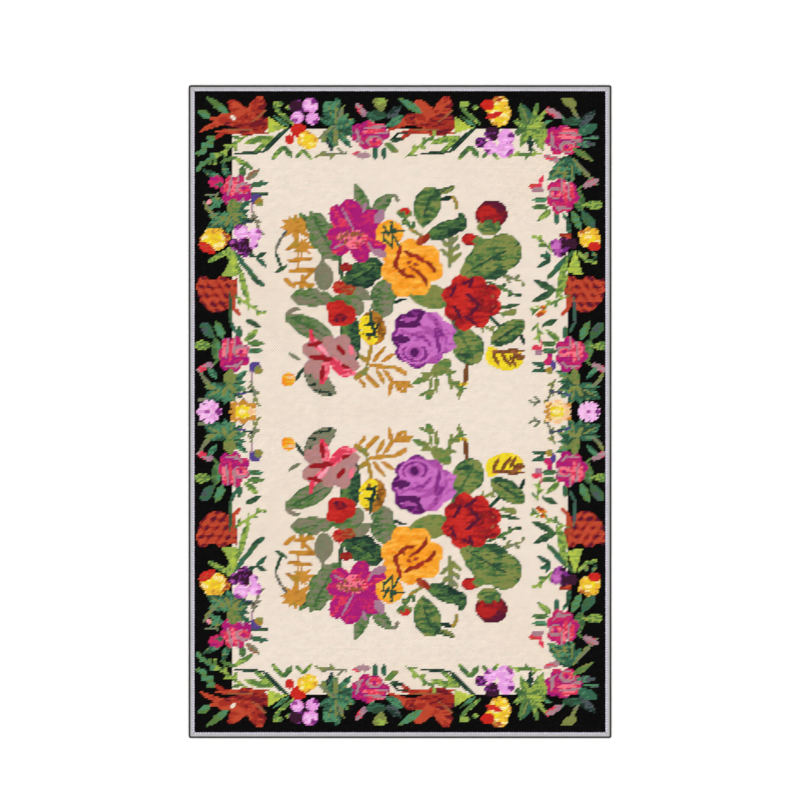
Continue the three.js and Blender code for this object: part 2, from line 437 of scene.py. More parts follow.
def big_bud(x, y):
    """A fat red bud, dark along its top and right, on its green cup."""
    body, _ = oval(x, y, 9.4, 8.4, 10)
    work(body, ("maroon", "crimson", "ruby"), 0.66, 0.7)
    work(body & ~oval(x - 3, y - 2.6, 8, 7.6, 10)[0], ("wine", "maroon"), 0.4, 0.8)
    strokes(x, y, ((-9, 0, -80, 7, 3, 20, ("wine", "maroon")), (3, 0, -50, 8, 3, 0, ("maroon", "crimson"))),
            within=body)
    cup = oval(x - 1.4, y - 7.4, 7, 4.8)[0] & (AT_Y < y - 3 - 2.4 * np.sin((AT_X - x) * 0.9))
    work(cup, ("ivy", "fern", "moss", "moss"), 0.55, 0.9)


STAR_SPIKES = 11


def star(x, y, size):
    """A pale lavender flower with a ragged edge."""
    over, up = AT_X - x, AT_Y - y
    rim = size * (0.72 + 0.28 * np.abs(np.sin(STAR_SPIKES * np.arctan2(up, over) / 2 + 0.6)) ** 0.6)
    work(np.hypot(over, up) <= rim, ("lavender", "pink", "pink"))
    dab((x + size * 0.72, y, size * 0.22, size * 0.26), ("violet", "orchid"))
    dab((x - size * 0.1, y, size * 0.22, size * 0.14), "orchid")


def daisy(x, y, size):
    """A butter-yellow flower with a sunny middle and rusty tips."""
    inside, out = scalloped(x, y, size, size * 0.84, 7, 0.3, 10)
    work(inside, ("butter", "peach", "butter"))
    work(inside & (out > 0.62) & (BLOTCHES > 0.55), ("rust", "gold", "gold"))
    work(out < 0.42 + 0.15 * BLOTCHES, ("sun", "lemon"), 0.7)
    dab((x - 0.5, y, 2.2, 1.6), "butter")


def golden_head(x, y, size):
    """A feathery golden head: thin pointed leaves round its crown."""
    for place, angle in enumerate((90, 62, 120, 30, 150, 0, 180, -35, 215, -90)):
        reach = 0.78 if place % 2 else 0.62
        spread = 1.25 if abs(math.cos(math.radians(angle))) > 0.8 else 1
        work(blade(x, y, angle, size * reach * spread, size * 0.3, 0, 0.4)[0], GOLDS)
    dab((x, y, size * 0.36, size * 0.3), GOLDS)


PINK_BUD, BUD_CUP = ("coral", "dove"), ("mauve", "dove")
JADES, LIGHTS, STALK = ("fern", "jade"), ("lime", "fern", "lime"), ("night", "pine")

# Sprays of leaves: angle, length, width, wools.
TEAL_FAN = ((106, 15, 9, BLUEGREENS), (82, 16, 7, BLUEGREENS), (62, 13, 3, TWIG), (37, 10, 4, JADES),
            (150, 10, 5, TEALS), (10, 12, 5, TEALS), (228, 13, 5, TEALS), (262, 13, 6, TEALS),
            (-58, 16, 5, TEALS), (-30, 14, 5, TEALS), (-10, 13, 4, TEALS), (-85, 12, 3, TWIG),
            (215, 12, 3, TWIG))
GREEN_FAN = ((108, 15, 7, ("teal", "ivy", "fern")), (70, 15, 4, LIMES), (44, 16, 3.4, LIMES),
             (14, 13, 3.4, ("ivy", "jade")), (152, 10, 5, LIMES), (196, 9, 5, ("ivy", "fern")),
             (238, 12, 5, LIMES), (-92, 16, 3.6, ("night", "pine")), (-62, 15, 5, LIMES),
             (-42, 18, 5, SPROUTS), (10, 8, 7, LIMES))
HANGING_FAN = ((218, 19, 8, TEALS), (240, 17, 8, TEALS), (262, 14, 6, TEALS), (292, 11, 5, COOL),
               (-52, 21, 3, TWIG), (192, 9, 4, TEALS))
BROAD_FAN = ((142, 14, 5, TEALS), (165, 11, 4, TEALS), (190, 11, 5, TEALS), (215, 12, 5, TEALS),
             (245, 11, 6, TEALS), (-85, 11, 5, COOL), (-55, 12, 6, BLUEGREENS), (-34, 15, 7, BLUEGREENS),
             (-8, 13, 5, TEALS), (128, 9, 4, MOSSY), (100, 9, 6, MOSSY), (215, 7, 3, "moss"),
             (-70, 7, 3, "moss"))

# The leaves round a side rose, from its middle: over, up, angle, length, width, wools, bend, widest, teeth.
ROSE_LEAVES = ((-8, 2.2, 180, 9, 3.4, ("ivy", "jade")), (-8, 6.4, 180, 9.5, 3.4, ("ivy", "fern")),
               (-6.5, 7.5, 137, 10, 3.8, LIGHTS), (-3, 8.5, 92, 8, 3.8, ("ivy", "teal")),
               (6, 9, 66, 11, 5.4, JADES, 0, 0.5, 3), (11, 8.5, 52, 12, 6, ("ivy", "teal", "slate"), 0, 0.6),
               (10.5, 9, -93, 12, 6, ("ivy", "fern", "jade")), (11.5, 5, 2, 11, 5.6, LIGHTS, 0, 0.65))


def parrot_group(over):
    """A parrot bloom with its sheath, curl and stalk, this many stitches along from the left one."""
    def at(x, y):
        """A place on the left one, moved along to this one."""
        return over + x, y

    stem(*at(-65, 166), -136, 21, 3, STALK)
    stem(*at(-80, 151.5), 184, 17, 1.8, STALK)
    stem(*at(-74.5, 160.5), -138, 13, 3, LIMES)
    leaf(*at(-76, 160.5), 194, 15, 4, LIGHTS)
    parrot(*at(-76.5, 161))
    work(facet(at(-77.4, 172.3), at(-77.4, 162.2), at(-66.4, 165.5)), SPROUTS, 0.5, 0.9)
    for row in ((-62, 167.5, 140, 11, 2.6), (-71, 174, 110, 7, 3), (-56.5, 152.5, -135, 6, 2.2),
                (-56.5, 152.5, -48, 7, 2.4)):
        stem(*at(*row[:2]), *row[2:], LIMES)
    work(oval(*at(-71, 179.5), 3, 1.6)[0] | oval(*at(-65, 177.5), 1.7)[0], LIMES, 0.5)
    leaf(*at(-65, 166.5), 146, 10, 2.6, ("ivy", "jade"))
    stem(*at(-68, 155), -131, 9.5, 3.2, ("lime", "fern", "ivy"))
    stem(*at(-68, 155), -52, 7.5, 3.2, ("fern", "ivy"))


def top_border():
    """Works the garland across the far end."""
    for row in ((-99, 173, 143, 17, 4.6), (-111, 171.6, 148, 8, 4.6)):
        leaf(*row, JADES, 0, 0.5, 5)
    sprig(-107, 161, 222, 14, JADES, 5, 3.4, 8, 3)
    sprig(-106, 150.5, 212, 14, JADES, 4, 3, 5, 2.6)
    sprig(-89.5, 161, 212, 23, LIMES, 6, 5, 8, 2.2)
    stem(-105, 145.5, 20, 9, 2.2, LIMES)
    stem(-97.5, 148.5, -30, 13, 3.2, LIMES)
    parrot_group(0)
    dab((-97.4, 171.2, 2, 1.2, -45), "cream")
    parrot_group(109)
    spray(-38, 167, TEAL_FAN)
    stem(-43, 159.5, -63, 8, 2.6, BLUISH)
    sprig(-31, 151, 184, 17, DRY, 4, 4)
    bud(-18.5, 149.2, 8, 172, PINK_BUD, BUD_CUP, 0.4)
    stem(-15, 168, 128, 9, 1.4, "jade")
    bud(-20, 172.5, 8, 128, ("coral", "dove", "mauve"), BUD_CUP, 0.45)
    border_rose(-17.6, 161.6, 0, 11.5, 8.6)
    for row in ((-8, 171, 40, 11, 5, BLUISH), (-7.5, 166, 36, 11, 5, COOL), (-14.5, 154, -90, 6, 4, SHADY),
                (-9.3, 154, -90, 6, 3.6, SHADY), (-9, 157, -37, 10, 4, MOSSY),
                (13, 174, 147, 16, 4.5, JADES)):
        leaf(*row)
    work(facet((-11.2, 174), (-8.2, 178), (-7.4, 181.6), (-9.6, 183), (-14, 183), (-16, 181), (-14.2, 177.6)),
         ("moss", "moss", "lime"))
    dab((-14, 172.8, 5.8, 2.8), SHADY)
    for row in ((-4, 160, 40, 4, 1.6, "night"), (-1, 162.5, -3, 6, 1.6, "night"),
                (-6, 158.5, 2, 7, 2.6, DEEPS)):
        stem(*row)
    sprig(2.7, 148, 38, 22, LIMES, 6, 4, 0, 2.0)
    pansy(((-60.4, 178, 4.3), (-56.5, 176.5, 3)), ((-52.4, 178.8, 4.8), (-59.9, 171.6, 3.9), (-51.2, 171, 4)))
    work(oval(-59.2, 164.2, 4.6, 4)[0] | oval(-64.4, 158.7, 2.9)[0], SCARLETS)
    tulip(-53.4, 157.7, 7.4, 6.6, 140)
    tulip(58, 174, 9.4, 10.6, 110)
    work(oval(51.4, 179, 4, 3.4)[0] | blade(50, 171, 20, 10, 3.4)[0], SCARLETS)
    pansy(((54, 162.2, 4.7), (47.4, 157, 3.5)), ((62, 160.2, 5), (61.4, 152.8, 5.2), (52.6, 154, 4)))
    spray(76, 165.5, GREEN_FAN)
    dab((80, 163.4, 6.5, 4, -15), ("fern", "lime", "lime", "sprout"), 0.5, 0.9)
    sprig(83, 150.4, 182, 18, LIMES, 4, 4)
    bud(93.5, 146, 8.5, 162, ("coral", "dove", "coral"), BUD_CUP, 0.4)
    stem(97, 168, 120, 6, 1.4, "jade")
    bud(93.5, 171.8, 8, 148, PINK_BUD, BUD_CUP, 0.5)
    border_rose(95.8, 158.5, -10, 12, 9)
    work(facet((93.8, 182.8), (97, 178.4), (101.5, 176), (103.2, 180), (101, 182.8)),
         ("moss", "moss", "sage"))
    stem(100, 178, -60, 8, 2.4, TWIG)
    for row in ((104, 166.5, 42, 13, 5, BLUISH), (104, 162.5, 22, 12, 6, COOL),
                (103, 156, 0, 11, 3.6, ("slate", "jade")), (101, 153.5, -32, 13, 3.6, MOSSY)):
        leaf(*row)
    dab((100.2, 169.2, 5.4, 2.4), SHADY)
    stem(107, 159.2, 6, 9, 1.8, ("slate", "jade"))


def side_rose(x, y, flip, rise=1):
    """A rose of the side border, its leaves and bud; flip is 1 on the right side, rise -1 where it hangs."""
    for over, up, angle, *row in ROSE_LEAVES:
        leaf(x + flip * over, y + rise * up, rise * turned(angle, flip), *row)
    stem(x + flip * 8, y - rise * 3, rise * turned(-36, flip), 6, 1.3, "fern")
    bud(x + flip * 13, y - rise * 6, 7.5, rise * turned(-22, flip), PINK_BUD, BUD_CUP, 0.5)
    border_rose(x, y, 80, 9.7, 10.7, -flip)


def side_spray(x, y, flip):
    """The broad toothed spray under a side rose, a twig on its inner side and a curl on its outer one."""
    leaf(x + flip * 6, y + 4, turned(50, flip), 8, 3.4, COOL)
    spray(x, y, BROAD_FAN, flip)
    stem(x + flip * 8.5, y - 1, turned(34, flip), 11, 2.4, DRY, 34 * flip)
    stem(x - flip * 4, y - 6, turned(166, flip), 12.5, 1.6, ("night", "pine", "bluebell"))


def left_border():
    """Works the garland down the left side, as far as the middle."""
    for row in ((-104, 135, 150, 12, 4, TEALS), (-100, 136, 112, 10, 4, TEALS),
                (-106, 127, 185, 8, 1.6, "sage"), (-103, 124, 215, 9, 4, ("jade", "teal")),
                (-88, 132, 8, 11, 3.4, ("ivy", "teal")), (-88, 127, 0, 11, 2.2, DARK),
                (-92.5, 136, 85, 7, 4, ("ivy", "fern")), (-89.5, 135.5, 38, 9, 4, ("sage", "stone", "clay"))):
        leaf(*row)
    dab((-107.2, 134, 4.6, 3.6), CERISES)
    leaf(-100, 131.5, 170, 8, 2.6, SHADY)
    border_rose(-95.7, 128.9, 75, 9.6, 9.2)
    bud(-106.5, 124.5, 7, 205, ("mauve", "blush", "straw"), STRAWS, 0.4)
    bell(-84, 124, -1)
    side_spray(-99, 115, -1)
    stem(-89.5, 111.5, 20, 6, 1.6, "night")
    sprig(-86, 117.5, -72, 14, GREY, 4, 4)
    tulip(-109, 99.6, 11.4, 8, 60)
    dab((-112.6, 95.4, 5.4, 2.6, -28), ("scarlet", "poppy", "flame"))
    pansy(((-96.5, 97.6, 3.6), (-90.6, 94.3, 4.4), (-91, 99.5, 3)),
          ((-93.1, 105.2, 4.4), (-84.8, 103.5, 4), (-85.6, 97.6, 2.8)))
    stem(-98.2, 94.3, -50, 27, 3, ("ivy", "teal"))
    stem(-100, 94, 209, 13, 3, LIMES)
    leaf(-98, 90, -62, 17, 3.6, LIGHTS)
    leaf(-101, 96, -64, 13, 5.4, LIMES)
    work(facet((-104.8, 78.6), (-94.8, 78.6), (-97, 91.6)), SPROUTS, 0.5, 0.9)
    for row in ((-84, 90.2, 22, 6), (-84, 90.2, -45, 8), (-84, 90.2, 160, 5)):
        leaf(*row, 2.8, ("teal", "pine"))
    berry(-106.7, 69)
    leaf(-94.5, 82, -70, 18, 4.4, LIMES, 0, 0.6, 4)
    sprig(-96.5, 67.7, -33, 19, LIMES, 6, 4)
    leaf(-87, 78, -28, 9, 3, SHADY)
    stem(-99.3, 70, -89, 18, 1.8, DARK)
    stem(-99, 52.5, -62, 8, 2.2, SHADY)
    leaf(-90, 53.5, -25, 9.5, 3.4, DARK)
    side_rose(-97.1, 33.5, -1)
    bell(-84.6, 26, -1)
    side_spray(-101, 15.5, -1)
    sprig(-87.3, 18.5, -74, 15, DRY, 4, 4)
    stem(-118, 7, 0, 6, 1.2, "sage")
    star(-111.4, 0, 7.4)
    daisy(-91.8, 0, 9)


def right_border():
    """Works the garland down the right side, as far as the middle."""
    spray(101, 148, HANGING_FAN)
    side_rose(94.7, 125.8, 1, -1)
    dab((79, 131.5, 4, 1.9), ("coral", "flame"))
    work(blade(81, 131, 70, 7, 2.8)[0], PINKS)
    dab((80.5, 129.4, 4, 1.6), ("dove", "mauve"))
    stem(94.7, 115.5, -42, 5, 2.2, BLUEGREENS)
    stem(98, 112.6, -84, 11, 2.6, BLUEGREENS)
    dab((96.6, 102.6, 3.8, 1.8), ("brick", "flame"))
    pansy(((93.5, 93.9, 4.2), (100, 98, 3.8), (95.5, 99, 3.2)), ((91, 97.6, 3.4),), ("orchid", "lilac"))
    sprig(88.8, 93.5, 137, 13, LIMES, 4, 4)
    tulip(111, 100.8, 8.8, 7.2, 100)
    dab((113.4, 96.6, 3.8, 2.8), ("scarlet", "poppy", "flame"))
    for row in ((110, 93, 235, 5), (112, 94, -60, 6)):
        leaf(*row, 2.6, TEALS)
    stem(101.4, 93.5, -134, 22, 3.4, ("ivy", "teal"))
    leaf(98, 90, -108, 20, 4, LIGHTS)
    work(facet((97.5, 81), (106.9, 79.5), (102.3, 95)), SPROUTS, 0.5, 0.9)
    stem(104, 93.5, -50, 7, 2.6, LIMES)
    stem(108, 88.5, -12, 7, 2.4, LIMES)
    for row in ((88, 88.4, 150, 7), (88, 88.4, 208, 9), (87, 89, 110, 5)):
        leaf(*row, 2.8, ("teal", "pine"))
    berry(107.8, 69, -1)
    sprig(98.5, 67.5, 203, 22, LIMES, 6, 4)
    stem(76, 60.5, -30, 4, 2.2, LIMES)
    stem(101.6, 67, -88, 15, 2.0, ("teal", "slate"))
    stem(102.2, 52.5, -116, 7, 2.2, ("teal", "slate"))
    for row in ((97.2, 80, -112, 15, 4.4, LIMES), (90.5, 71, 156, 13, 4.2, DARK),
                (90.5, 70.5, 206, 14, 4.2, DARK), (92, 54, 205, 9.5, 3.4, DARK)):
        leaf(*row)
    work(oval(83.5, 60.6, 1.6, 1.3)[0] | blade(78.6, 56, 18, 7, 3)[0], ("orange", "rust"))
    sprig(80, 52.5, -84, 11, LIMES, 4, 4)
    side_rose(99.7, 33.2, 1)
    work(blade(82.2, 42, -86, 7, 1.8)[0], "rose")
    dab((79.6, 37.2, 3, 1.6), ("coral", "coral", "rose"))
    dab((81, 34.4, 2.4, 1.5), ("mauve", "dove"))
    for row in ((86, 27.5, 176, 9), (87, 24.4, 184, 9.5)):
        leaf(*row, 3, SHADY)
    work(oval(87.4, 31.6, 1.9, 2.8)[0] | oval(86.4, 29, 3, 1.7)[0], CERISES)
    dab((89.4, 27, 1.4, 3), "bluebell")
    dab((87.4, 24, 2, 2.2), STRAWS)
    side_spray(103.5, 15.5, 1)
    sprig(90.4, 19, -108, 13, ("sage", "moss", "slate"), 3, 4)
    sprig(82.5, 6, 190, 5, ("sage", "slate"), 3, 4)
    daisy(92, 0, 9)
    star(110.6, 0, 6.6)


def bouquet_greens():
    """Works the leaves, stems and golden sprays of the bouquet."""
    golden_head(-61, 107.5, 11)
    golden_head(-57.5, 96, 7)
    for row in ((-67, 94, 35, 9, 2.4), (-66, 88, 6, 15, 2.6), (-65, 82, 4, 16, 2.8), (-62, 75, -5, 12, 2.6),
                (-57, 76, 45, 10, 2.8), (-57, 76, -40, 9, 2.8), (-57, 80, -92, 16, 2.6),
                (-68, 78, -38, 8, 3.0), (-60, 104, -88, 20, 1.8), (-19, 27.5, -8, 16, 2.6),
                (-4.5, 26.5, -28, 9.5, 3.0), (-16, 29, 50, 11, 2.4), (-11, 29, 32, 8.5, 2.6),
                (-13.5, 24.5, -62, 8.5, 2.6), (-9.5, 24.5, -54, 8.5, 2.6), (-5, 18, -100, 8, 2.8),
                (-4.4, 17, 0, 10.5, 2.2), (-3.4, 15, -2, 10.5, 2.6), (-2.4, 13, -10, 6, 2.2),
                (-20.5, 22, -45, 11, 3.0), (-23.4, 19.5, -60, 5.5, 2.4)):
        stem(*row, GOLDS)
    stem(-66, 106, 235, 14, 1.7, ("slate", "stone"), 10)
    stem(-73, 94, -70, 12, 1.7, "pine")
    stem(-73, 81, 30, 8, 2.4, DARK)
    for row in ((-19.5, 26, 78, 13, 2.6), (-25, 34, -42, 8, 2.6), (-26.5, 19, 38, 10, 3.6),
                (-19.5, 26, -110, 4, 2.4)):
        stem(*row, STRAWS)
    for row in ((18, 22, 178, 5), (18, 20.5, 192, 9), (17, 19, 195, 10), (18.5, 20, -100, 7),
                (21.6, 21, -92, 9), (21, 13, 200, 10), (20, 13, 240, 6), (17, 11, 250, 4), (28, 27, -84, 12),
                (28.6, 26, -84, 13), (29.5, 16.5, 5, 5), (29.5, 18, -42, 10), (34, 13.5, 0, 4),
                (34.5, 12, -90, 4), (28, 22, 20, 5)):
        stem(*row, 2.3, ("moss", "moss", "fern"))
    leaf(29.5, 29.5, 216, 14, 8, ("moss", "moss", "fern"))
    for row in ((29, 84, 88, 20, ("moss", "moss", "sage"), 7, 8, 0, 2.8),
                (50, 82, -12, 22, TWIG, 5, 5, -8, 2.0), (50, 76, -20, 20, ("pine", "fern"), 4, 5, -10, 2.0),
                (58, 58, -10, 8, "moss", 2, 3), (46, 52, -30, 12, "moss", 3, 5)):
        sprig(*row)
    for row in ((55, 60, 8, 15, 2.4, DEEPS, 6), (59, 57, 14, 9, 2.6, MOSSY),
                (69.5, 46.5, -65, 7.5, 2.4, "night"), (52, 56, -45, 11, 2.2, ("night", "pine")),
                (-5, 126, 10, 6, 2.4, GREY, -110), (19, 127, 12, 13, 3.6, ("moss", "pine", "fern"), 10),
                (24, 124, 8, 8, 2.6, "night"), (30, 126, -40, 9, 2.4, STRAWS, -60),
                (36, 106, 70, 9, 5, DEEPS, 50), (-52, 107, 100, 11, 2.6, ("pine", "fern"), 60),
                (-45, 92, -92, 9, 2.8, GREY), (-35, 95, -95, 20, 2.4, DEEPS, 20),
                (-32, 77, -40, 10, 2.0, "pine", 10), (-66, 52, 110, 13, 2.8, GREY, -130),
                (-20, 70, 160, 14, 1.8, "pine", 10), (4, 66, 190, 8, 1.8, "night", 20),
                (-54, 27, 222, 13, 2.2, ("pine", "night"), 20), (-58, 30, 150, 8, 2.4, "sage"),
                (39, 28, -94, 13, 2.8, "cocoa"), (34, 15.5, 10, 6, 2, ("straw", "lemon"))):
        stem(*row)
    for row in ((-18, 117, 128, 18, 7, SAGES, -20), (-15, 113, 74, 17, 8, SAGES, -45),
                (13.5, 107, 88, 23, 16, GREENS, -28, 0.6, 0, "pine"), (15, 102, 16, 25, 10, DEEPS, 12, 0.5),
                (31, 76.5, 31, 42, 25, GREENS, -4, 0.66, 5, "pine"),
                (-37, 88, 120, 32, 17, SAGES, -4, 0.5, 4, "ivy"),
                (-44, 71, 94, 15, 11, ("sage", "stone", "sage"), 0, 0.5),
                (-33, 74, 24, 25, 17, DEEPS, 14, 0.55, 4, "night"), (-30, 71, -4, 14, 7, GREY, -40),
                (-37, 65, 172, 27, 12, SAGES, 8, 0.55, 4), (-40, 66, 5, 20, 11, SAGES, -60, 0.6),
                (-27, 24, 97, 38, 12, DEEPS, -4, 0.55), (-38, 41, 150, 32, 12, SAGES, 6, 0.5, 0, "ivy"),
                (-8, 76, -104, 21, 16, SAGES, 16, 0.45, 3),
                (5, 69, -6, 26, 14, ("fern", "moss", "moss"), -8, 0.5),
                (30, 55, -62, 30, 19, GREENS, 4, 0.62, 3, "ivy"), (28, 55, 20, 12, 8, "moss"),
                (53, 39.5, 33, 23.5, 12, GREENS, 0, 0.5, 0, "pine"),
                (-53, 27, -72, 23, 12, ("night", "sage", "stone", "sage"), 50)):
        leaf(*row)


def bouquet_blooms():
    """Works the flowers, buds and berries of the bouquet over its leaves."""
    dab((-65.2, 18.8, 4.1, 3.9, 20), ("peach", "sun", "orange"), 0.55, 0.9)
    orange_rose(6.5, 84)
    stem(10, 98, 35, 8, 4.4, ("rust", "brick"))
    purple_rose(13, 43)
    red_rose(41.5, 64)
    magenta_lily(-26, 104)
    pink_lily(-41, 31)
    dab((-6, 104.5, 8, 7.2), ("sun", "amber", "amber"))
    stem(-14, 101, 10, 8, 4, ("apricot", "sun"))
    for row in ((-5, 111, -88, 14), (-10, 109, -60, 7), (-2, 107, 215, 6), (-11, 104, 8, 14),
                (-9, 101, -50, 7), (-4, 103, -60, 8), (-10, 105, -80, 6)):
        stem(*row, 1.5, "pine")
    berries = scalloped(-37, 59.5, 6.5, 6.5, 4, 0.2, 20)[0] | oval(-31.5, 56.5, 6, 6)[0]
    work(berries | oval(-36, 54, 6, 4.4)[0], ("crimson", "ruby", "poppy"), 0.65)
    dab((-35, 54.5, 4, 2.6, 20), ("maroon", "wine", "crimson"), 0.4, 0.9)
    dab((-35.5, 72.5, 4, 4, -15), ("flame", "poppy", "crimson"), 0.5, 0.9)
    dab((-30, 71, 4.4, 3, -5), ("ember", "rust", "clay", "moss"), 0.5, 0.9)
    dab((-31.5, 84.4, 3.6, 2.4), ("crimson", "brick"))
    big_bud(53.4, 115)
    bud(47, 99.5, 8.5, 172, ("maroon", "ruby", "poppy"), MOSSY, 0.85)
    dab((46, 99.6, 3.6, 2.6), MOSSY)
    dab((2.6, 115.8, 4.4, 3), ("moss", "fern", "ivy"))
    dab((2.8, 117, 3.4, 1.9), ("ruby", "poppy"))
    sprig(8, 105, 125, 11, ("moss", "fern", "ivy"), 3, 4, 0, 2.6)
    stem(5, 107, -30, 9, 2.2, ("moss", "straw"))
    dab((-15.4, 49, 7, 9.8, 12), ("bronze", "ochre"))
    work(oval(-18.5, 47.5, 5.4, 9, 20)[0] & (SPECKS > 0.1), ("sun", "lemon", "lemon"), 0.6)
    stem(-17.4, 60, -88, 17, 2.2, ("night", "pine"), 20)
    for row in ((-21, 50, 15, 7, 1.8), (-15, 47, 60, 5, 1.6), (-20, 45, 0, 5, 1.6)):
        stem(*row, "night")
    half_open = oval(61, 31.5, 11.4, 7.2, -8)[0] & (AT_Y < 36 - 0.1 * (AT_X - 61))
    work(half_open | blade(51, 37.4, -25, 9, 4)[0], ("sun", "lemon", "lemon"), 0.6)
    for row in ((54, 35, 2, 18, 2.4), (66, 32.6, -8, 6, 3.6), (54, 35, -65, 8, 2.2), (59, 34, -52, 9, 2.4),
                (64, 33, -62, 7, 2.2)):
        stem(*row, ("clay", "cocoa", "bronze"))


def work_far_half():
    """Works the far half of the rug: the grounds, the border and then the bouquet, greens before blooms."""
    chart[:] = NUMBER["jet"]
    chart[(np.abs(AT_X) < GROUND_X) & (AT_Y < GROUND_Y)] = NUMBER["cream"]
    top_border()
    left_border()
    right_border()
    bouquet_greens()
    bouquet_blooms()


LINT = 0.0008                        # how much lighter than its dye a wool's loose hairs make it
DEPTH_UNEVEN, HUE_UNEVEN = 0.06, 0.03   # how far one stitch's dye strays in depth, and in each colour
GROUND_EVEN = 0.4                    # of that on the pale ground, where it would show more
STREAKY = 0.06                       # how much the dye varies in streaks
FADE_MIDDLE, FADE = 0.3, (0.02, 0.04, 0.07)   # how the cloth fades in clouds: red, green and blue


def stitch_colours(colours):
    """The linear colour of every stitch, the near row first, with the unevenness of hand-dyed wool."""
    work_far_half()
    wools = np.array([linear(colour) for colour in WOOLS.values()])
    wools[NUMBER["cream"]] = tuple(colours.ground)
    wools[NUMBER["jet"]] = tuple(colours.border)
    chance = np.random.default_rng(SEED + 5)
    streaks, clouds = (np.vstack([noise, noise[::-1]]) for noise in (STREAKS, patches(4, 45, 30)))
    fading = 1 - (clouds - FADE_MIDDLE)[..., None] * np.array(FADE)
    worked = np.vstack([chart, chart[::-1]])
    dyed = np.where((worked == NUMBER["cream"])[..., None], GROUND_EVEN, 1.0)
    uneven = dyed * (chance.normal(0, DEPTH_UNEVEN, (ROWS, COLUMNS, 1))
                     + chance.normal(0, HUE_UNEVEN, (ROWS, COLUMNS, 3)))
    uneven += 1 + STREAKY * (streaks[..., None] - 0.5)
    lint = chance.exponential(LINT, (ROWS, COLUMNS, 1))
    return np.clip(wools[worked] * uneven * fading + lint, 0, 1)[::-1]


def colour_corners(mesh, corner_colour):
    """Gives a mesh its colours, a linear colour for every corner of every face, with painted shade in them on
    the stitches, the overcast thread and the cord.
    """
    colour = mesh.attributes.new("corner_colour", "FLOAT_COLOR", "CORNER")
    colour.data.foreach_set("color", np.insert(corner_colour, 3, 1, axis=1).astype(np.float32).ravel())


def new_piece(name, points, faces, material, corner_colour, normals=None, laid=None):
    """A mesh object at the origin.

    Its colours, which on some pieces hold painted shade, its normals and its places on the map that its
    colours are baked through are listed corner by corner.
    """
    mesh = bpy.data.meshes.new(name)
    mesh.from_pydata(points.tolist(), [], faces)
    mesh.materials.append(material)
    colour_corners(mesh, corner_colour)
    if laid is not None:
        mesh.uv_layers.new(name="OFBake").data.foreach_set("uv", laid.astype(np.float32).ravel())
    if normals is not None:
        mesh.shade_smooth()
        mesh.normals_split_custom_set(normals.tolist())
    piece = bpy.data.objects.new(name, mesh)
    bpy.context.collection.objects.link(piece)
    return piece


def close_pad(grid, wide, tall, floor):
    """Closes a grid of points with walls down to a floor: all the points, the walls and the floor face."""
    rim = np.concatenate([np.arange(wide), np.arange(1, tall) * wide + wide - 1,
                          (tall - 1) * wide + np.arange(wide - 2, -1, -1), np.arange(tall - 2, 0, -1) * wide])
    foot = grid[rim] * (1, 1, 0) + (0, 0, floor)
    low = len(grid) + np.arange(len(rim))
    walls = np.stack([rim, low, np.roll(low, -1), np.roll(rim, -1)], 1)
    return np.concatenate([grid, foot]), walls, low[::-1]


# A stitch is eight triangles on a grid of half stitches. Each row here is one of them: its corners in half
# stitches from the cell's lower left, which neighbour's wool it shows (1 is the one to the right), and
# which way the yarn's round side faces at each corner, (0, 0) being the crown and (1, -1) lower right.
STITCH_TRIANGLES = (
    (((0, 0), (1, 0), (1, 1)), 0, ((-1, -1), (1, -1), (0, 0))),
    (((0, 0), (1, 1), (0, 1)), 0, ((-1, -1), (0, 0), (-1, 1))),
    (((1, 0), (2, 0), (2, 1)), 1, ((-1, 1), (-1, -1), (-1, 1))),
    (((1, 0), (2, 1), (1, 1)), 0, ((1, -1), (1, -1), (0, 0))),
    (((0, 1), (1, 1), (1, 2)), 0, ((-1, 1), (0, 0), (-1, 1))),
    (((0, 1), (1, 2), (0, 2)), -1, ((1, -1), (1, -1), (1, 1))),
    (((1, 1), (2, 1), (2, 2)), 0, ((0, 0), (1, -1), (1, 1))),
    (((1, 1), (2, 2), (1, 2)), 0, ((0, 0), (1, 1), (-1, 1))),
)
END_HEIGHT = 0.45                    # of the crown's, where the ends of two stitches meet
END_SLOPE, SIDE_SLOPE = 0.45, 0.75   # how far the yarn turns down at a stitch's end and at its side
END_SHADE, SIDE_SHADE = 0.93, 0.80   # painted shade, of the crown's colour, where less light gets in
BURIED = 0.3                         # grey of the pad's walls, which nothing shows
PLUMPNESS = 0.06                     # how far one stitch's height strays from the next


def stitch_heights(relief):
    """The height of the yarn over the canvas at every half stitch, no two stitches quite as plump."""
    heights = np.zeros((2 * ROWS + 1, 2 * COLUMNS + 1))
    heights[::2, ::2] = END_HEIGHT * relief
    heights[1::2, 1::2] = relief * np.random.default_rng(SEED + 6).normal(1.0, PLUMPNESS, (ROWS, COLUMNS))
    return heights


# The map that a breadth's colours are baked through has its near and far halves side by side, so that a
# stitch gets nearly as many pixels along as across, then a strip for its underside and one for its walls.
HALF_STARTS, HALF_WIDE = 0.48, 0.47
UNDERSIDE_STRIP, WALL_STRIP = (0.965, 0.98), (0.985, 0.997)
MAP_MARGIN = 0.006                   # kept free round the map's edge


def laid_stitches(column, row, places, columns):
    """Where the corners of one of each stitch's triangles lie on the breadth's map."""
    far = row >= HALF
    over, up = np.array(places).T
    u = MAP_MARGIN + HALF_STARTS * far[:, None] + HALF_WIDE * (column[:, None] + over / 2) / columns
    v = ((row - HALF * far)[:, None] + up / 2) / HALF
    return np.stack([u, MAP_MARGIN + (1 - 2 * MAP_MARGIN) * v], 2).reshape(-1, 2)


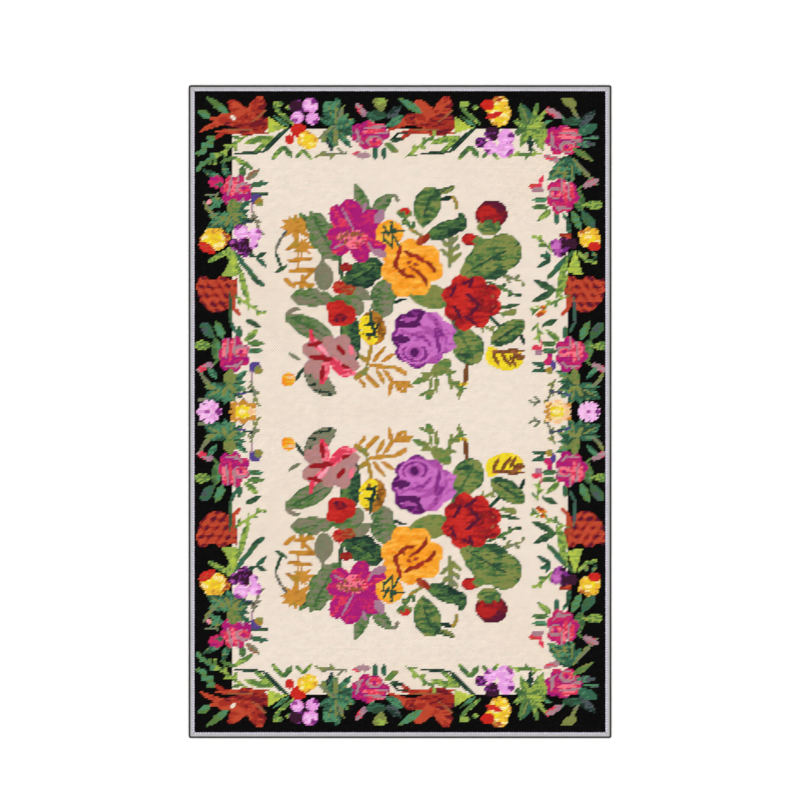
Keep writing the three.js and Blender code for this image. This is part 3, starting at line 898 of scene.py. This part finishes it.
def laid_underneath(foot):
    """Where the corners of a breadth's walls and then of its underside lie on its map."""
    step = np.arange(len(foot) + 1) / len(foot)
    rim, low = (np.full(len(foot), edge) for edge in WALL_STRIP)
    walls = np.stack([rim, step[:-1], low, step[:-1], low, step[1:], rim, step[1:]], 1).reshape(-1, 2)
    across, along = ((foot[:, :2] - foot[:, :2].min(0)) / np.ptp(foot[:, :2], axis=0)).T
    under = np.stack([np.interp(across, (0, 1), UNDERSIDE_STRIP), along], 1)
    return np.concatenate([walls, under])


def stitched_breadth(name, first, last, tints, surface, floor, material):
    """One breadth of the face, from column first up to last, as a closed pad of stitches."""
    wide, tall = 2 * (last - first) + 1, 2 * ROWS + 1
    across = -FACE_X + (np.arange(wide) + 2 * first) * PITCH_X / 2
    along = -FACE_Y + np.arange(tall)[:, None] * PITCH_Y / 2
    grid = np.stack(np.broadcast_arrays(across, along, surface[:, 2 * first:2 * last + 1]), -1).reshape(-1, 3)
    points, walls, under = close_pad(grid, wide, tall, floor)
    column, row = (places.ravel() for places in np.meshgrid(np.arange(first, last), np.arange(ROWS)))
    corners, shaded_dyes, normals, laid = [], [], [], []
    for places, source, leans in STITCH_TRIANGLES:
        corners += [np.stack([(2 * row + up) * wide + 2 * (column - first) + over for over, up in places], 1)]
        wool = tints[row, np.clip(column + source, 0, COLUMNS - 1)]
        # Painted shade: the wool is darkened from its crown's colour at the corners where the stitch's ends
        # and sides turn down.
        shades = [1.0 if place == (1, 1) else SIDE_SHADE if sum(place) % 2 else END_SHADE for place in places]
        shaded_dyes += [wool[:, None] * np.array(shades)[:, None]]
        laid += [laid_stitches(column - first, row, places, last - first)]
        slopes = [END_SLOPE if lean[0] == lean[1] else SIDE_SLOPE for lean in leans]
        turned_down = [(lean[0] * slope, lean[1] * slope, 1.0) for lean, slope in zip(leans, slopes)]
        normals += [np.broadcast_to(turned_down, (len(row), 3, 3))]
    side = np.roll(points[under[::-1]], -1, 0) - points[under[::-1]]
    outward = np.stack([side[:, 1], -side[:, 0], np.zeros(len(side))], 1)
    normal = np.concatenate([np.concatenate(normals).reshape(-1, 3), np.repeat(outward, 4, 0),
                             np.broadcast_to((0.0, 0.0, -1.0), (len(under), 3))])
    corner_colour = np.concatenate([np.concatenate(shaded_dyes).reshape(-1, 3), np.full((5 * len(under), 3), BURIED)])
    faces = np.concatenate(corners).tolist() + walls.tolist() + [under.tolist()]
    return new_piece(name, points, faces, material, corner_colour,
                     normal / np.linalg.norm(normal, axis=1, keepdims=True),
                     np.concatenate([*laid, laid_underneath(points[under])]))


BACK_STEP = 2                        # stitches to one face of the back
BACK_WOOL, BACK_COTTON = 0.62, (0.20, 0.17, 0.13)   # how much wool shows there, and the canvas beside it


def canvas_back(tints, top, material):
    """The canvas that carries the stitches, as one closed sheet, coloured underneath by their reverse."""
    wide, tall = COLUMNS // BACK_STEP + 1, ROWS // BACK_STEP + 1
    across = np.linspace(panel_high.x, panel_low.x, wide)
    along = np.linspace(panel_low.y, panel_high.y, tall)[:, None]
    grid = np.stack(np.broadcast_arrays(across, along, panel_low.z), -1).reshape(-1, 3)
    points, walls, over = close_pad(grid, wide, tall, top)
    column, row = (places.ravel() for places in np.meshgrid(np.arange(wide - 1), np.arange(tall - 1)))
    corner = row * wide + column
    squares = np.stack([corner, corner + 1, corner + wide + 1, corner + wide], 1)
    right, up = np.array(((0, 0), (1, 0), (1, 1), (0, 1))).T
    u = UNDERSIDE_STRIP[0] * (column[:, None] + right) / wide
    laid = np.stack([u, (row[:, None] + up) / (tall - 1)], 2).reshape(-1, 2)
    wool = tints[::BACK_STEP, ::-BACK_STEP].reshape(-1, 3) * BACK_WOOL + BACK_COTTON
    corner_colour = np.concatenate([np.repeat(wool, 4, 0), np.tile(BACK_COTTON, (5 * len(over), 1))])
    faces = squares.tolist() + walls.tolist() + [over.tolist()]
    return new_piece("stitched_canvas", points, faces, material, corner_colour,
                     laid=np.concatenate([laid, laid_underneath(points[over])]))


CORD_POINTS, CORD_STEPS = 12, 8      # points round the cord, and rings to one turn of its twist
STRANDS = 3
GROOVE = 0.16                        # how deep the grooves between strands go, of the cord's radius
GROOVE_SHADE = 0.45                  # painted shade in the grooves between strands, of the cord's colour
CORD_CORNER = 2.5 * MM               # radius that the cord's middle turns at the rug's corners
CORNER_POINTS = 9                    # along one such turn


def edge_path(inset, corner, step):
    """Even points, about a step apart, once round the rug's outline inset, with rounded corners."""
    x, y = cord_high.x - inset - corner, cord_high.y - inset - corner
    turn = np.radians(np.linspace(0, 90, CORNER_POINTS))
    arcs = [np.stack([right * x + corner * np.cos(turn + start), far * y + corner * np.sin(turn + start)], 1)
            for right, far, start in ((1, 1, 0), (-1, 1, math.pi / 2), (-1, -1, math.pi),
                                      (1, -1, -math.pi / 2))]
    ring = np.concatenate([*arcs, arcs[0][:1]])
    run = np.insert(np.cumsum(np.hypot(*np.diff(ring, axis=0).T)), 0, 0)
    places = np.linspace(0, run[-1], round(run[-1] / step), endpoint=False)
    return np.stack([np.interp(places, run, ring[:, axis]) for axis in (0, 1)], 1), run[-1]


def twisted_cord(name, pitch, material):
    """The three-strand cord sewn round the outside, as a tube whose section turns as it goes."""
    radius = (cord_high.z - cord_low.z) / 2
    path, around = edge_path(radius, CORD_CORNER, pitch / CORD_STEPS)
    travel = np.roll(path, -1, 0) - np.roll(path, 1, 0)
    outward = np.stack([travel[:, 1], -travel[:, 0]], 1) / np.hypot(*travel.T)[:, None]
    section = np.arange(CORD_POINTS) * 2 * math.pi / CORD_POINTS
    crest = np.abs(np.cos(STRANDS * section / 2))
    angle = section + np.arange(len(path))[:, None] * 2 * math.pi * round(around / pitch) / len(path)
    reach = radius * (1 - GROOVE + GROOVE * crest)
    flat = path[:, None] + outward[:, None] * (reach * np.cos(angle))[..., None]
    height = (cord_low.z + cord_high.z) / 2 + reach * np.sin(angle)
    points = np.concatenate([flat, height[..., None]], 2).reshape(-1, 3)
    ring, spot = (places.ravel() for places in np.meshgrid(np.arange(len(path)), np.arange(CORD_POINTS)))
    here, ahead = ring * CORD_POINTS, (ring + 1) % len(path) * CORD_POINTS
    beside = (spot + 1) % CORD_POINTS
    faces = np.stack([here + spot, ahead + spot, ahead + beside, here + beside], 1)
    # Painted shade: each strand is lighter on its crest and darker down in the grooves.
    shade = (GROOVE_SHADE + (1 - GROOVE_SHADE) * crest)[faces.ravel() % CORD_POINTS]
    piece = new_piece(name, points, faces.tolist(), material, np.repeat(shade[:, None], 3, 1))
    piece.data.shade_smooth()
    return piece


OUTWARD = {"left": (-1, 0), "right": (1, 0), "near": (0, -1), "far": (0, 1)}
TAPE_EDGE = 1.4 * MM                 # radius of the tape's folded edges
TAPE_FOLD_STEPS = 3                  # faces round one folded edge
TAPE_CUTS = 100                      # along a side, so that the tape can pucker
PUCKER, PUCKER_SPACING = 0.5 * MM, 25 * MM   # how high the puckers rise, and the size of one
TAPE_CREASE = 50                     # degrees past which an edge of the tape stays sharp


def deselect():
    """Leaves nothing selected, so that an operator acts on its own piece alone."""
    bpy.ops.object.select_all(action="DESELECT")


def binding_tape(side, material):
    """One side's binding: a folded tape, mitred at its ends, its long edges round and a little puckered."""
    low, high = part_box(f"binding_{side}")
    deselect()
    bpy.ops.mesh.primitive_cube_add(size=1, location=(low + high) / 2, scale=high - low)
    piece = bpy.context.object
    piece.name = f"binding_tape_{side}"
    bpy.ops.object.transform_apply(location=True, rotation=True, scale=True)
    out = OUTWARD[side]
    long = 0 if out[0] == 0 else 1
    select_edges(piece.data, lambda a, b: abs(a[long] - b[long]) > BAND and a.z > low.z + TAPE_EDGE)
    bpy.ops.mesh.bevel(offset=TAPE_EDGE, segments=TAPE_FOLD_STEPS, affect="EDGES")
    select_edges(piece.data, lambda a, b: abs(a[long] - b[long]) > BAND)
    bpy.ops.mesh.subdivide(number_cuts=TAPE_CUTS)
    for end in (-1, 1):
        along = (end, 0) if long == 0 else (0, end)
        corner = [(low, high)[step > 0][axis] for axis, step in enumerate(np.add(out, along))]
        bpy.ops.mesh.select_all(action="SELECT")
        bpy.ops.mesh.bisect(plane_co=(*corner, 0), plane_no=(along[0] - out[0], along[1] - out[1], 0),
                            use_fill=True, clear_outer=True)
    bpy.ops.object.mode_set(mode="OBJECT")
    clouds = bpy.data.textures.new(f"puckers_{side}", "CLOUDS")
    clouds.noise_scale = PUCKER_SPACING
    pucker = piece.modifiers.new("pucker", "DISPLACE")
    pucker.texture, pucker.texture_coords, pucker.direction = clouds, "LOCAL", "Z"
    pucker.strength, pucker.mid_level = PUCKER, 0.5
    upper = piece.vertex_groups.new(name="upper")
    upper.add([vertex.index for vertex in piece.data.vertices if vertex.co.z > low.z + TAPE_EDGE], 1,
              "REPLACE")
    pucker.vertex_group = upper.name
    bpy.ops.object.modifier_apply(modifier=pucker.name)
    bpy.ops.object.shade_smooth_by_angle(angle=math.radians(TAPE_CREASE))
    piece.data.materials.append(material)
    return piece


def select_edges(mesh, wanted):
    """Opens the active piece for editing, with just the edges selected whose end points are wanted."""
    bpy.ops.object.mode_set(mode="EDIT")
    bpy.ops.mesh.select_mode(type="EDGE")
    bpy.ops.mesh.select_all(action="DESELECT")
    bpy.ops.object.mode_set(mode="OBJECT")
    for edge in mesh.edges:
        edge.select = bool(wanted(*(mesh.vertices[end].co for end in edge.vertices)))
    bpy.ops.object.mode_set(mode="EDIT")


SLANT = 20                           # degrees that an overcast stitch leans from straight across the seam
OVERCAST_PITCH = 6.1 * MM            # from one overcast stitch to the next
OVERCAST_OUT = 2.3 * MM              # from the face's edge out to the middle of the overcast stitches
OVERCAST_RISE = 1.25 * MM            # half the height of one
OVERCAST_STRAY = np.array([0.15, 0.15, 0.05]) * MM   # how far one stitch strays from its place
OVERCAST_UNEVEN, OVERCAST_HUE = 0.05, 0.04   # how far one stitch strays in size and in shade
SEAM_SHADE = 0.3                     # painted shade, of the thread's colour, where it goes into the seam


def overcast_row(side, length, thickness, material):
    """The slanting stitches that sew one side's tape to the face: one stitch, repeated and unevened."""
    out = np.array(OUTWARD[side])
    side_length = 2 * (FACE_X if out[0] == 0 else FACE_Y)
    count = round(side_length / OVERCAST_PITCH)
    pitch = side_length / count
    way = np.array([1, 0]) if out[0] == 0 else np.array([0, 1])
    seam = np.array([FACE_X, FACE_Y]) + OVERCAST_OUT
    first = out * seam - way * pitch * (count - 1) / 2
    bearing = math.atan2(out[1], out[0]) + math.radians(SLANT)
    deselect()
    bpy.ops.mesh.primitive_uv_sphere_add(
        segments=8, ring_count=4, radius=1, location=(*first, panel_high.z), rotation=(0, 0, bearing),
        scale=(length / 2, thickness / 2, OVERCAST_RISE))
    piece = bpy.context.object
    piece.name = f"overcast_{side}"
    bpy.ops.object.transform_apply(location=True, rotation=True, scale=True)
    row = piece.modifiers.new("row", "ARRAY")
    row.count, row.use_relative_offset, row.use_constant_offset = count, False, True
    row.constant_offset_displace = (*(way * pitch), 0)
    bpy.ops.object.modifier_apply(modifier=row.name)
    chance = np.random.default_rng(SEED + 10 + SIDES.index(side))
    places = np.zeros(len(piece.data.vertices) * 3)
    piece.data.vertices.foreach_get("co", places)
    places = places.reshape(count, -1, 3)
    middles = places.mean(1, keepdims=True)
    places = (middles + (places - middles) * chance.normal(1, OVERCAST_UNEVEN, (count, 1, 3))
              + chance.normal(0, 1, (count, 1, 3)) * OVERCAST_STRAY)
    piece.data.vertices.foreach_set("co", places.ravel())
    # Painted shade: each stitch darkens from its top down to where it goes into the seam.
    rise = (places[..., 2] - places[..., 2].min()) / np.ptp(places[..., 2])
    painted_seam_shade = SEAM_SHADE + (1 - SEAM_SHADE) * rise
    shade = (painted_seam_shade * chance.normal(1, OVERCAST_HUE, (count, 1))).ravel()
    corners = np.zeros(len(piece.data.loops), int)
    piece.data.loops.foreach_get("vertex_index", corners)
    colour_corners(piece.data, np.repeat(shade[corners][:, None], 3, 1))
    bpy.ops.object.shade_smooth()
    piece.data.materials.append(material)
    return piece


def fresh_material(name):
    """A material with its own nodes; returns it, its node tree and its shader."""
    material = bpy.data.materials.new(name)
    material.use_nodes = True
    return material, material.node_tree, material.node_tree.nodes["Principled BSDF"]


def add(tree, kind, inputs=None, output=0, **settings):
    """Adds a shader node with its settings, links or sets its inputs, and returns one of its outputs."""
    made = tree.nodes.new("ShaderNode" + kind)
    for name, value in settings.items():
        setattr(made, name, value)
    for socket, value in (inputs or {}).items():
        if isinstance(value, bpy.types.NodeSocket):
            tree.links.new(value, made.inputs[socket])
        else:
            made.inputs[socket].default_value = value
    return made.outputs[output]


def finish_material(tree, shader, colour, height, depth, roughness, specular):
    """Joins a material's colour and its bump of some depth in metres to its shader."""
    tree.links.new(colour, shader.inputs["Base Color"])
    tree.links.new(add(tree, "Bump", {"Height": height, "Distance": depth}), shader.inputs["Normal"])
    shader.inputs["Roughness"].default_value = roughness
    shader.inputs["Specular IOR Level"].default_value = specular


STRAND = 1.0 * MM         # one of the strands that lie side by side in a stitch
STRAND_TURN = 45          # degrees that a stitch slants
ROW_SHADE_SPACING = 4.5 * MM          # slanting rows that the stitches line up in, painted into the wool's colour as bands of light and shade, drawn coarser than one to show
ROW_SHADE_TURN = 42           # degrees that the rows' spacing is turned from straight across
HAIR = 0.4 * MM           # loose wool hairs, drawn coarser than real ones so that they show
THREAD = 0.9 * MM         # threads of the binding tape
WAVES = 2 * math.pi / 20  # scale at which a wave texture has one wave to a unit


def tapestry_wool():
    """Worsted tapestry wool, dyed in the hank: fully matt, with strands along each slanting stitch."""
    material, tree, shader = fresh_material("tapestry_wool_worsted")
    corner_colour = add(tree, "Attribute", output="Color", attribute_name="corner_colour")
    point = add(tree, "TexCoord", output="Object")
    slanted = add(tree, "Mapping", {"Vector": point, "Rotation": (0, 0, math.radians(STRAND_TURN)),
                                    "Scale": (1 / STRAND,) * 3})
    strands = add(tree, "TexWave", {"Vector": slanted, "Scale": WAVES, "Distortion": 1.0, "Detail": 2.0},
                  "Fac")
    fine = add(tree, "Mapping", {"Vector": point, "Scale": (1 / HAIR,) * 3})
    hairs = add(tree, "TexNoise", {"Vector": fine, "Scale": 1.0, "Detail": 3.0, "Roughness": 0.6}, "Fac")
    pile = add(tree, "Math", {0: strands, 1: hairs}, operation="ADD")
    tone = add(tree, "MapRange", {"Value": pile, "From Min": 0.4, "From Max": 1.5, "To Min": 0.9,
                                  "To Max": 1.06})
    # Painted shade: lighter and darker bands along the slanting rows of stitches, stronger in some clouds
    # than in others.
    lined_up = add(tree, "Mapping", {"Vector": point, "Rotation": (0, 0, math.radians(ROW_SHADE_TURN)),
                                     "Scale": (1 / ROW_SHADE_SPACING,) * 3})
    rows = add(tree, "TexWave", {"Vector": lined_up, "Scale": WAVES, "Distortion": 0.4}, "Fac")
    plain = add(tree, "TexNoise", {"Vector": point, "Scale": 3.0, "Detail": 1.0}, "Fac")
    depth = add(tree, "MapRange", {"Value": plain, "From Min": 0.35, "From Max": 0.65, "To Min": 0.08,
                                   "To Max": 0.46})
    lean = add(tree, "Math", {0: rows, 1: 0.5}, operation="SUBTRACT")
    painted_row_shade = add(tree, "Math", {0: lean, 1: depth, 2: 1.0}, operation="MULTIPLY_ADD")
    shade = add(tree, "Math", {0: tone, 1: painted_row_shade}, operation="MULTIPLY")
    colour = add(tree, "VectorMath", {0: corner_colour, 1: shade}, operation="MULTIPLY")
    finish_material(tree, shader, colour, height=pile, depth=0.12 * MM, roughness=0.95, specular=0.03)
    return material


def stitched_back():
    """The reverse of the stitching: flat crossed wool ends in cotton canvas, duller than the face."""
    material, tree, shader = fresh_material("stitched_canvas_reverse")
    corner_colour = add(tree, "Attribute", output="Color", attribute_name="corner_colour")
    point = add(tree, "TexCoord", output="Object")
    mesh_holes = add(tree, "Mapping", {"Vector": point, "Scale": (1 / PITCH_X, 1 / PITCH_Y, 1)})
    ends = add(tree, "TexBrick", {"Vector": mesh_holes, "Scale": 1.0, "Mortar Size": 0.12, "Brick Width": 1.0,
                                  "Row Height": 1.0, "Color1": (1, 1, 1, 1), "Color2": (0.8, 0.8, 0.8, 1),
                                  "Mortar": (0.5, 0.47, 0.42, 1)})
    colour = add(tree, "VectorMath", {0: corner_colour, 1: ends}, operation="MULTIPLY")
    finish_material(tree, shader, colour, height=ends, depth=0.3 * MM, roughness=0.95, specular=0.1)
    return material


def woven_tape(name, hue):
    """Plain-woven cotton tape: matt, with a fine square weave and a slightly uneven bleach."""
    material, tree, shader = fresh_material(name)
    point = add(tree, "TexCoord", output="Object")
    thread = add(tree, "Mapping", {"Vector": point, "Scale": (1 / THREAD,) * 3})
    warp, weft = (add(tree, "TexWave", {"Vector": thread, "Scale": WAVES, "Distortion": 0.6, "Detail": 1.0},
                      "Fac", bands_direction=way) for way in "XY")
    weave = add(tree, "Math", {0: warp, 1: weft}, operation="MULTIPLY")
    clouds = add(tree, "TexNoise", {"Vector": point, "Scale": 60.0, "Detail": 3.0}, "Fac")
    tone = add(tree, "Math", {0: weave, 1: 0.2, 2: clouds}, operation="MULTIPLY_ADD")
    shade = add(tree, "MapRange", {"Value": tone, "From Min": 0.3, "From Max": 0.9, "To Min": 0.9,
                                   "To Max": 1.08})
    colour = add(tree, "VectorMath", {0: tuple(hue), 1: shade}, operation="MULTIPLY")
    finish_material(tree, shader, colour, height=weave, depth=0.1 * MM, roughness=0.9, specular=0.15)
    return material


def plied_thread(name, hue, grain_size):
    """Twisted cotton thread: a little glossier than wool, with painted shade from its corner colours
    darkening its hollows, its dye uneven.
    """
    material, tree, shader = fresh_material(name)
    corner_colour = add(tree, "Attribute", output="Color", attribute_name="corner_colour")
    point = add(tree, "TexCoord", output="Object")
    grain = add(tree, "TexNoise", {"Vector": point, "Scale": 1 / grain_size, "Detail": 4.0}, "Fac")
    shade = add(tree, "MapRange", {"Value": grain, "From Min": 0.3, "From Max": 0.7, "To Min": 0.88,
                                   "To Max": 1.1})
    body = add(tree, "VectorMath", {0: corner_colour, 1: tuple(hue)}, operation="MULTIPLY")
    colour = add(tree, "VectorMath", {0: body, 1: shade}, operation="MULTIPLY")
    finish_material(tree, shader, colour, height=grain, depth=0.08 * MM, roughness=0.85, specular=0.15)
    return material


def studio_paint():
    """Matt white backdrop paint, rolled on and faintly cloudy."""
    material, tree, shader = fresh_material("studio_white_paint")
    point = add(tree, "TexCoord", output="Object")
    clouds = add(tree, "TexNoise", {"Vector": point, "Scale": 2.0}, "Fac")
    shade = add(tree, "MapRange", {"Value": clouds, "To Min": 0.895, "To Max": 0.905})
    finish_material(tree, shader, shade, height=clouds, depth=0.02 * MM, roughness=1.0, specular=0.1)
    return material


SUNK = 0.85                   # how much of a stitch's relief lies below the panel's top in the frame
CANVAS_SHARE = 0.7            # of the panel's height, from its underside to the top of the canvas
SEWING_GRAIN, CORD_GRAIN = 1.2 * MM, 0.8 * MM   # unevenness of the sewing thread and of the cord's yarn

FLOOR_SIZE = 14.0             # metres across
SUN_TURN = (20, -15, 0)       # degrees, so that it comes from the lower left of the picture
SUN_POWER, SUN_ANGLE = 1.1, 60   # watts a square metre, and how many degrees wide it shines
AIR_LIGHT = 0.9
LENS, SENSOR = 85, 36         # millimetres
CAMERA_UP = 27.6 * MM         # the rug lies this much below the middle of the picture


class RugSizes(bpy.types.PropertyGroup):
    relief: bpy.props.FloatProperty(
        name="Stitch relief", description="Height of a stitch's crown over the hollow beside it",
        default=0.95 * MM, min=0.2 * MM, max=3 * MM, unit="LENGTH")
    overcast_length: bpy.props.FloatProperty(
        name="Overcast stitch", description="Length of one stitch that sews the binding to the face",
        default=6.2 * MM, min=3 * MM, max=12 * MM, unit="LENGTH")
    overcast_thread: bpy.props.FloatProperty(
        name="Overcast thread", description="Thickness of the thread of the overcast stitches",
        default=5.2 * MM, min=1 * MM, max=7 * MM, unit="LENGTH")
    twist: bpy.props.FloatProperty(
        name="Cord twist", description="Length of one full turn of the edge cord's three strands",
        default=16 * MM, min=6 * MM, max=40 * MM, unit="LENGTH")
    camera_height: bpy.props.FloatProperty(
        name="Camera height", description="Distance from the floor to the camera that looks straight down",
        default=4.467, min=1.0, max=10.0, unit="LENGTH")


class RugColours(bpy.types.PropertyGroup):
    ground: bpy.props.FloatVectorProperty(
        name="Ground wool", description="Wool of the pale middle", subtype="COLOR",
        default=linear(WOOLS["cream"]), min=0, max=1)
    border: bpy.props.FloatVectorProperty(
        name="Border wool", description="Wool of the dark border", subtype="COLOR",
        default=linear(WOOLS["jet"]), min=0, max=1)
    tape: bpy.props.FloatVectorProperty(
        name="Binding tape", description="Cotton tape round the edge", subtype="COLOR",
        default=linear("b0aeb0"), min=0, max=1)
    overcast: bpy.props.FloatVectorProperty(
        name="Overcast thread", description="Thread that sews the tape on", subtype="COLOR",
        default=linear("d6d0e4"), min=0, max=1)
    cord: bpy.props.FloatVectorProperty(
        name="Edge cord", description="Twisted cord sewn round the outside", subtype="COLOR",
        default=linear("4d4b43"), min=0, max=1)


def belongs(piece, slot, *nodes):
    """Ties a piece to the frame: what it rides on and the solids it stands for. Its slot, the finish it would
    take, is not used.
    """
    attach(piece, "root")
    if nodes:
        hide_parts(*nodes)


class RUG_OT_work_face(bpy.types.Operator):
    """Works the stitched face in its breadths, over the canvas whose reverse shows underneath"""
    bl_idname = "rug.work_face"
    bl_label = "Work the stitched face"

    def execute(self, context):
        relief = context.scene.rug_sizes.relief
        tints = stitch_colours(context.scene.rug_colours)
        surface = panel_high.z - SUNK * relief + stitch_heights(relief)
        canvas_top = panel_low.z + CANVAS_SHARE * (panel_high.z - panel_low.z)
        belongs(canvas_back(tints, canvas_top, stitched_back()), "stitched_wool", "needlepoint_panel")
        wool = tapestry_wool()
        edges = [round(COLUMNS * breadth / BREADTHS) for breadth in range(BREADTHS + 1)]
        for number, (first, last) in enumerate(zip(edges, edges[1:]), 1):
            name = f"stitched_breadth_{number}"
            breadth = stitched_breadth(name, first, last, tints, surface, canvas_top, wool)
            belongs(breadth, "stitched_wool", "needlepoint_panel")
        return {"FINISHED"}


class RUG_OT_bind_edges(bpy.types.Operator):
    """Folds the cotton binding tape round the four sides, mitred at the corners"""
    bl_idname = "rug.bind_edges"
    bl_label = "Bind the edges"

    def execute(self, context):
        cotton = woven_tape("binding_tape_cotton", context.scene.rug_colours.tape)
        for side in SIDES:
            belongs(binding_tape(side, cotton), "binding_tape", f"binding_{side}")
        return {"FINISHED"}


class RUG_OT_overcast(bpy.types.Operator):
    """Sews the tape to the face with a row of slanting stitches on each side"""
    bl_idname = "rug.overcast"
    bl_label = "Overcast the seam"

    def execute(self, context):
        sizes = context.scene.rug_sizes
        thread = plied_thread("overcast_thread_cotton", context.scene.rug_colours.overcast, SEWING_GRAIN)
        for side in SIDES:
            belongs(overcast_row(side, sizes.overcast_length, sizes.overcast_thread, thread), "binding_tape")
        return {"FINISHED"}


class RUG_OT_edge_cord(bpy.types.Operator):
    """Lays the twisted cord once round the outside"""
    bl_idname = "rug.edge_cord"
    bl_label = "Sew on the edge cord"

    def execute(self, context):
        strands = plied_thread("edge_cord_plied_cotton", context.scene.rug_colours.cord, CORD_GRAIN)
        cord = twisted_cord("twisted_edge_cord", context.scene.rug_sizes.twist, strands)
        belongs(cord, "edge_cord", "edge_cord")
        return {"FINISHED"}


class RUG_OT_stage(bpy.types.Operator):
    """Sets the white floor, the soft light and the camera that looks straight down"""
    bl_idname = "rug.stage"
    bl_label = "Set the studio"

    def execute(self, context):
        deselect()
        bpy.ops.mesh.primitive_plane_add(size=FLOOR_SIZE, location=(0, 0, 0))
        floor = context.object
        floor.name = "studio_floor"
        floor.data.materials.append(studio_paint())
        bpy.ops.object.light_add(type="SUN", rotation=[math.radians(turn) for turn in SUN_TURN])
        sun = context.object
        sun.data.energy, sun.data.angle = SUN_POWER, math.radians(SUN_ANGLE)
        world = bpy.data.worlds.new("studio_air")
        world.use_nodes = True
        world.node_tree.nodes["Background"].inputs["Color"].default_value = (1, 1, 1, 1)
        world.node_tree.nodes["Background"].inputs["Strength"].default_value = AIR_LIGHT
        context.scene.world = world
        context.scene.view_settings.view_transform = "Standard"
        height = context.scene.rug_sizes.camera_height
        bpy.ops.object.camera_add(location=(0, CAMERA_UP, height), rotation=(0, 0, 0))
        context.scene.camera = context.object
        context.object.data.lens, context.object.data.sensor_width = LENS, SENSOR
        return {"FINISHED"}


OPERATORS = (RUG_OT_work_face, RUG_OT_bind_edges, RUG_OT_overcast, RUG_OT_edge_cord, RUG_OT_stage)


class RUG_PT_rug(bpy.types.Panel):
    """Lists the steps that make the rug, with the sizes and colours that they read"""
    bl_idname = "RUG_PT_rug"
    bl_label = "Counted-stitch rug"
    bl_space_type = "VIEW_3D"
    bl_region_type = "UI"
    bl_category = "Rug"

    def draw(self, context):
        for group in (context.scene.rug_sizes, context.scene.rug_colours):
            for name in group.__annotations__:
                self.layout.prop(group, name)
        for operator in OPERATORS:
            self.layout.operator(operator.bl_idname)


def register():
    """Registers the settings, the operators and the panel."""
    for kind in (RugSizes, RugColours, *OPERATORS, RUG_PT_rug):
        bpy.utils.register_class(kind)
    bpy.types.Scene.rug_sizes = bpy.props.PointerProperty(type=RugSizes)
    bpy.types.Scene.rug_colours = bpy.props.PointerProperty(type=RugColours)


def unregister():
    """Takes them away again, the last first."""
    del bpy.types.Scene.rug_colours, bpy.types.Scene.rug_sizes
    for kind in (RUG_PT_rug, *OPERATORS[::-1], RugColours, RugSizes):
        bpy.utils.unregister_class(kind)


def main():
    """Makes the rug and its studio."""
    register()
    for operator in OPERATORS:
        group, name = operator.bl_idname.split(".")
        getattr(getattr(bpy.ops, group), name)()
    sewn_on = [f"stitched_breadth_{number}" for number in range(1, BREADTHS + 1)] + ["twisted_edge_cord"]
    sewn_on += [f"{kind}_{side}" for kind in ("binding_tape", "overcast") for side in SIDES]


if __name__ == "__main__":
    main()
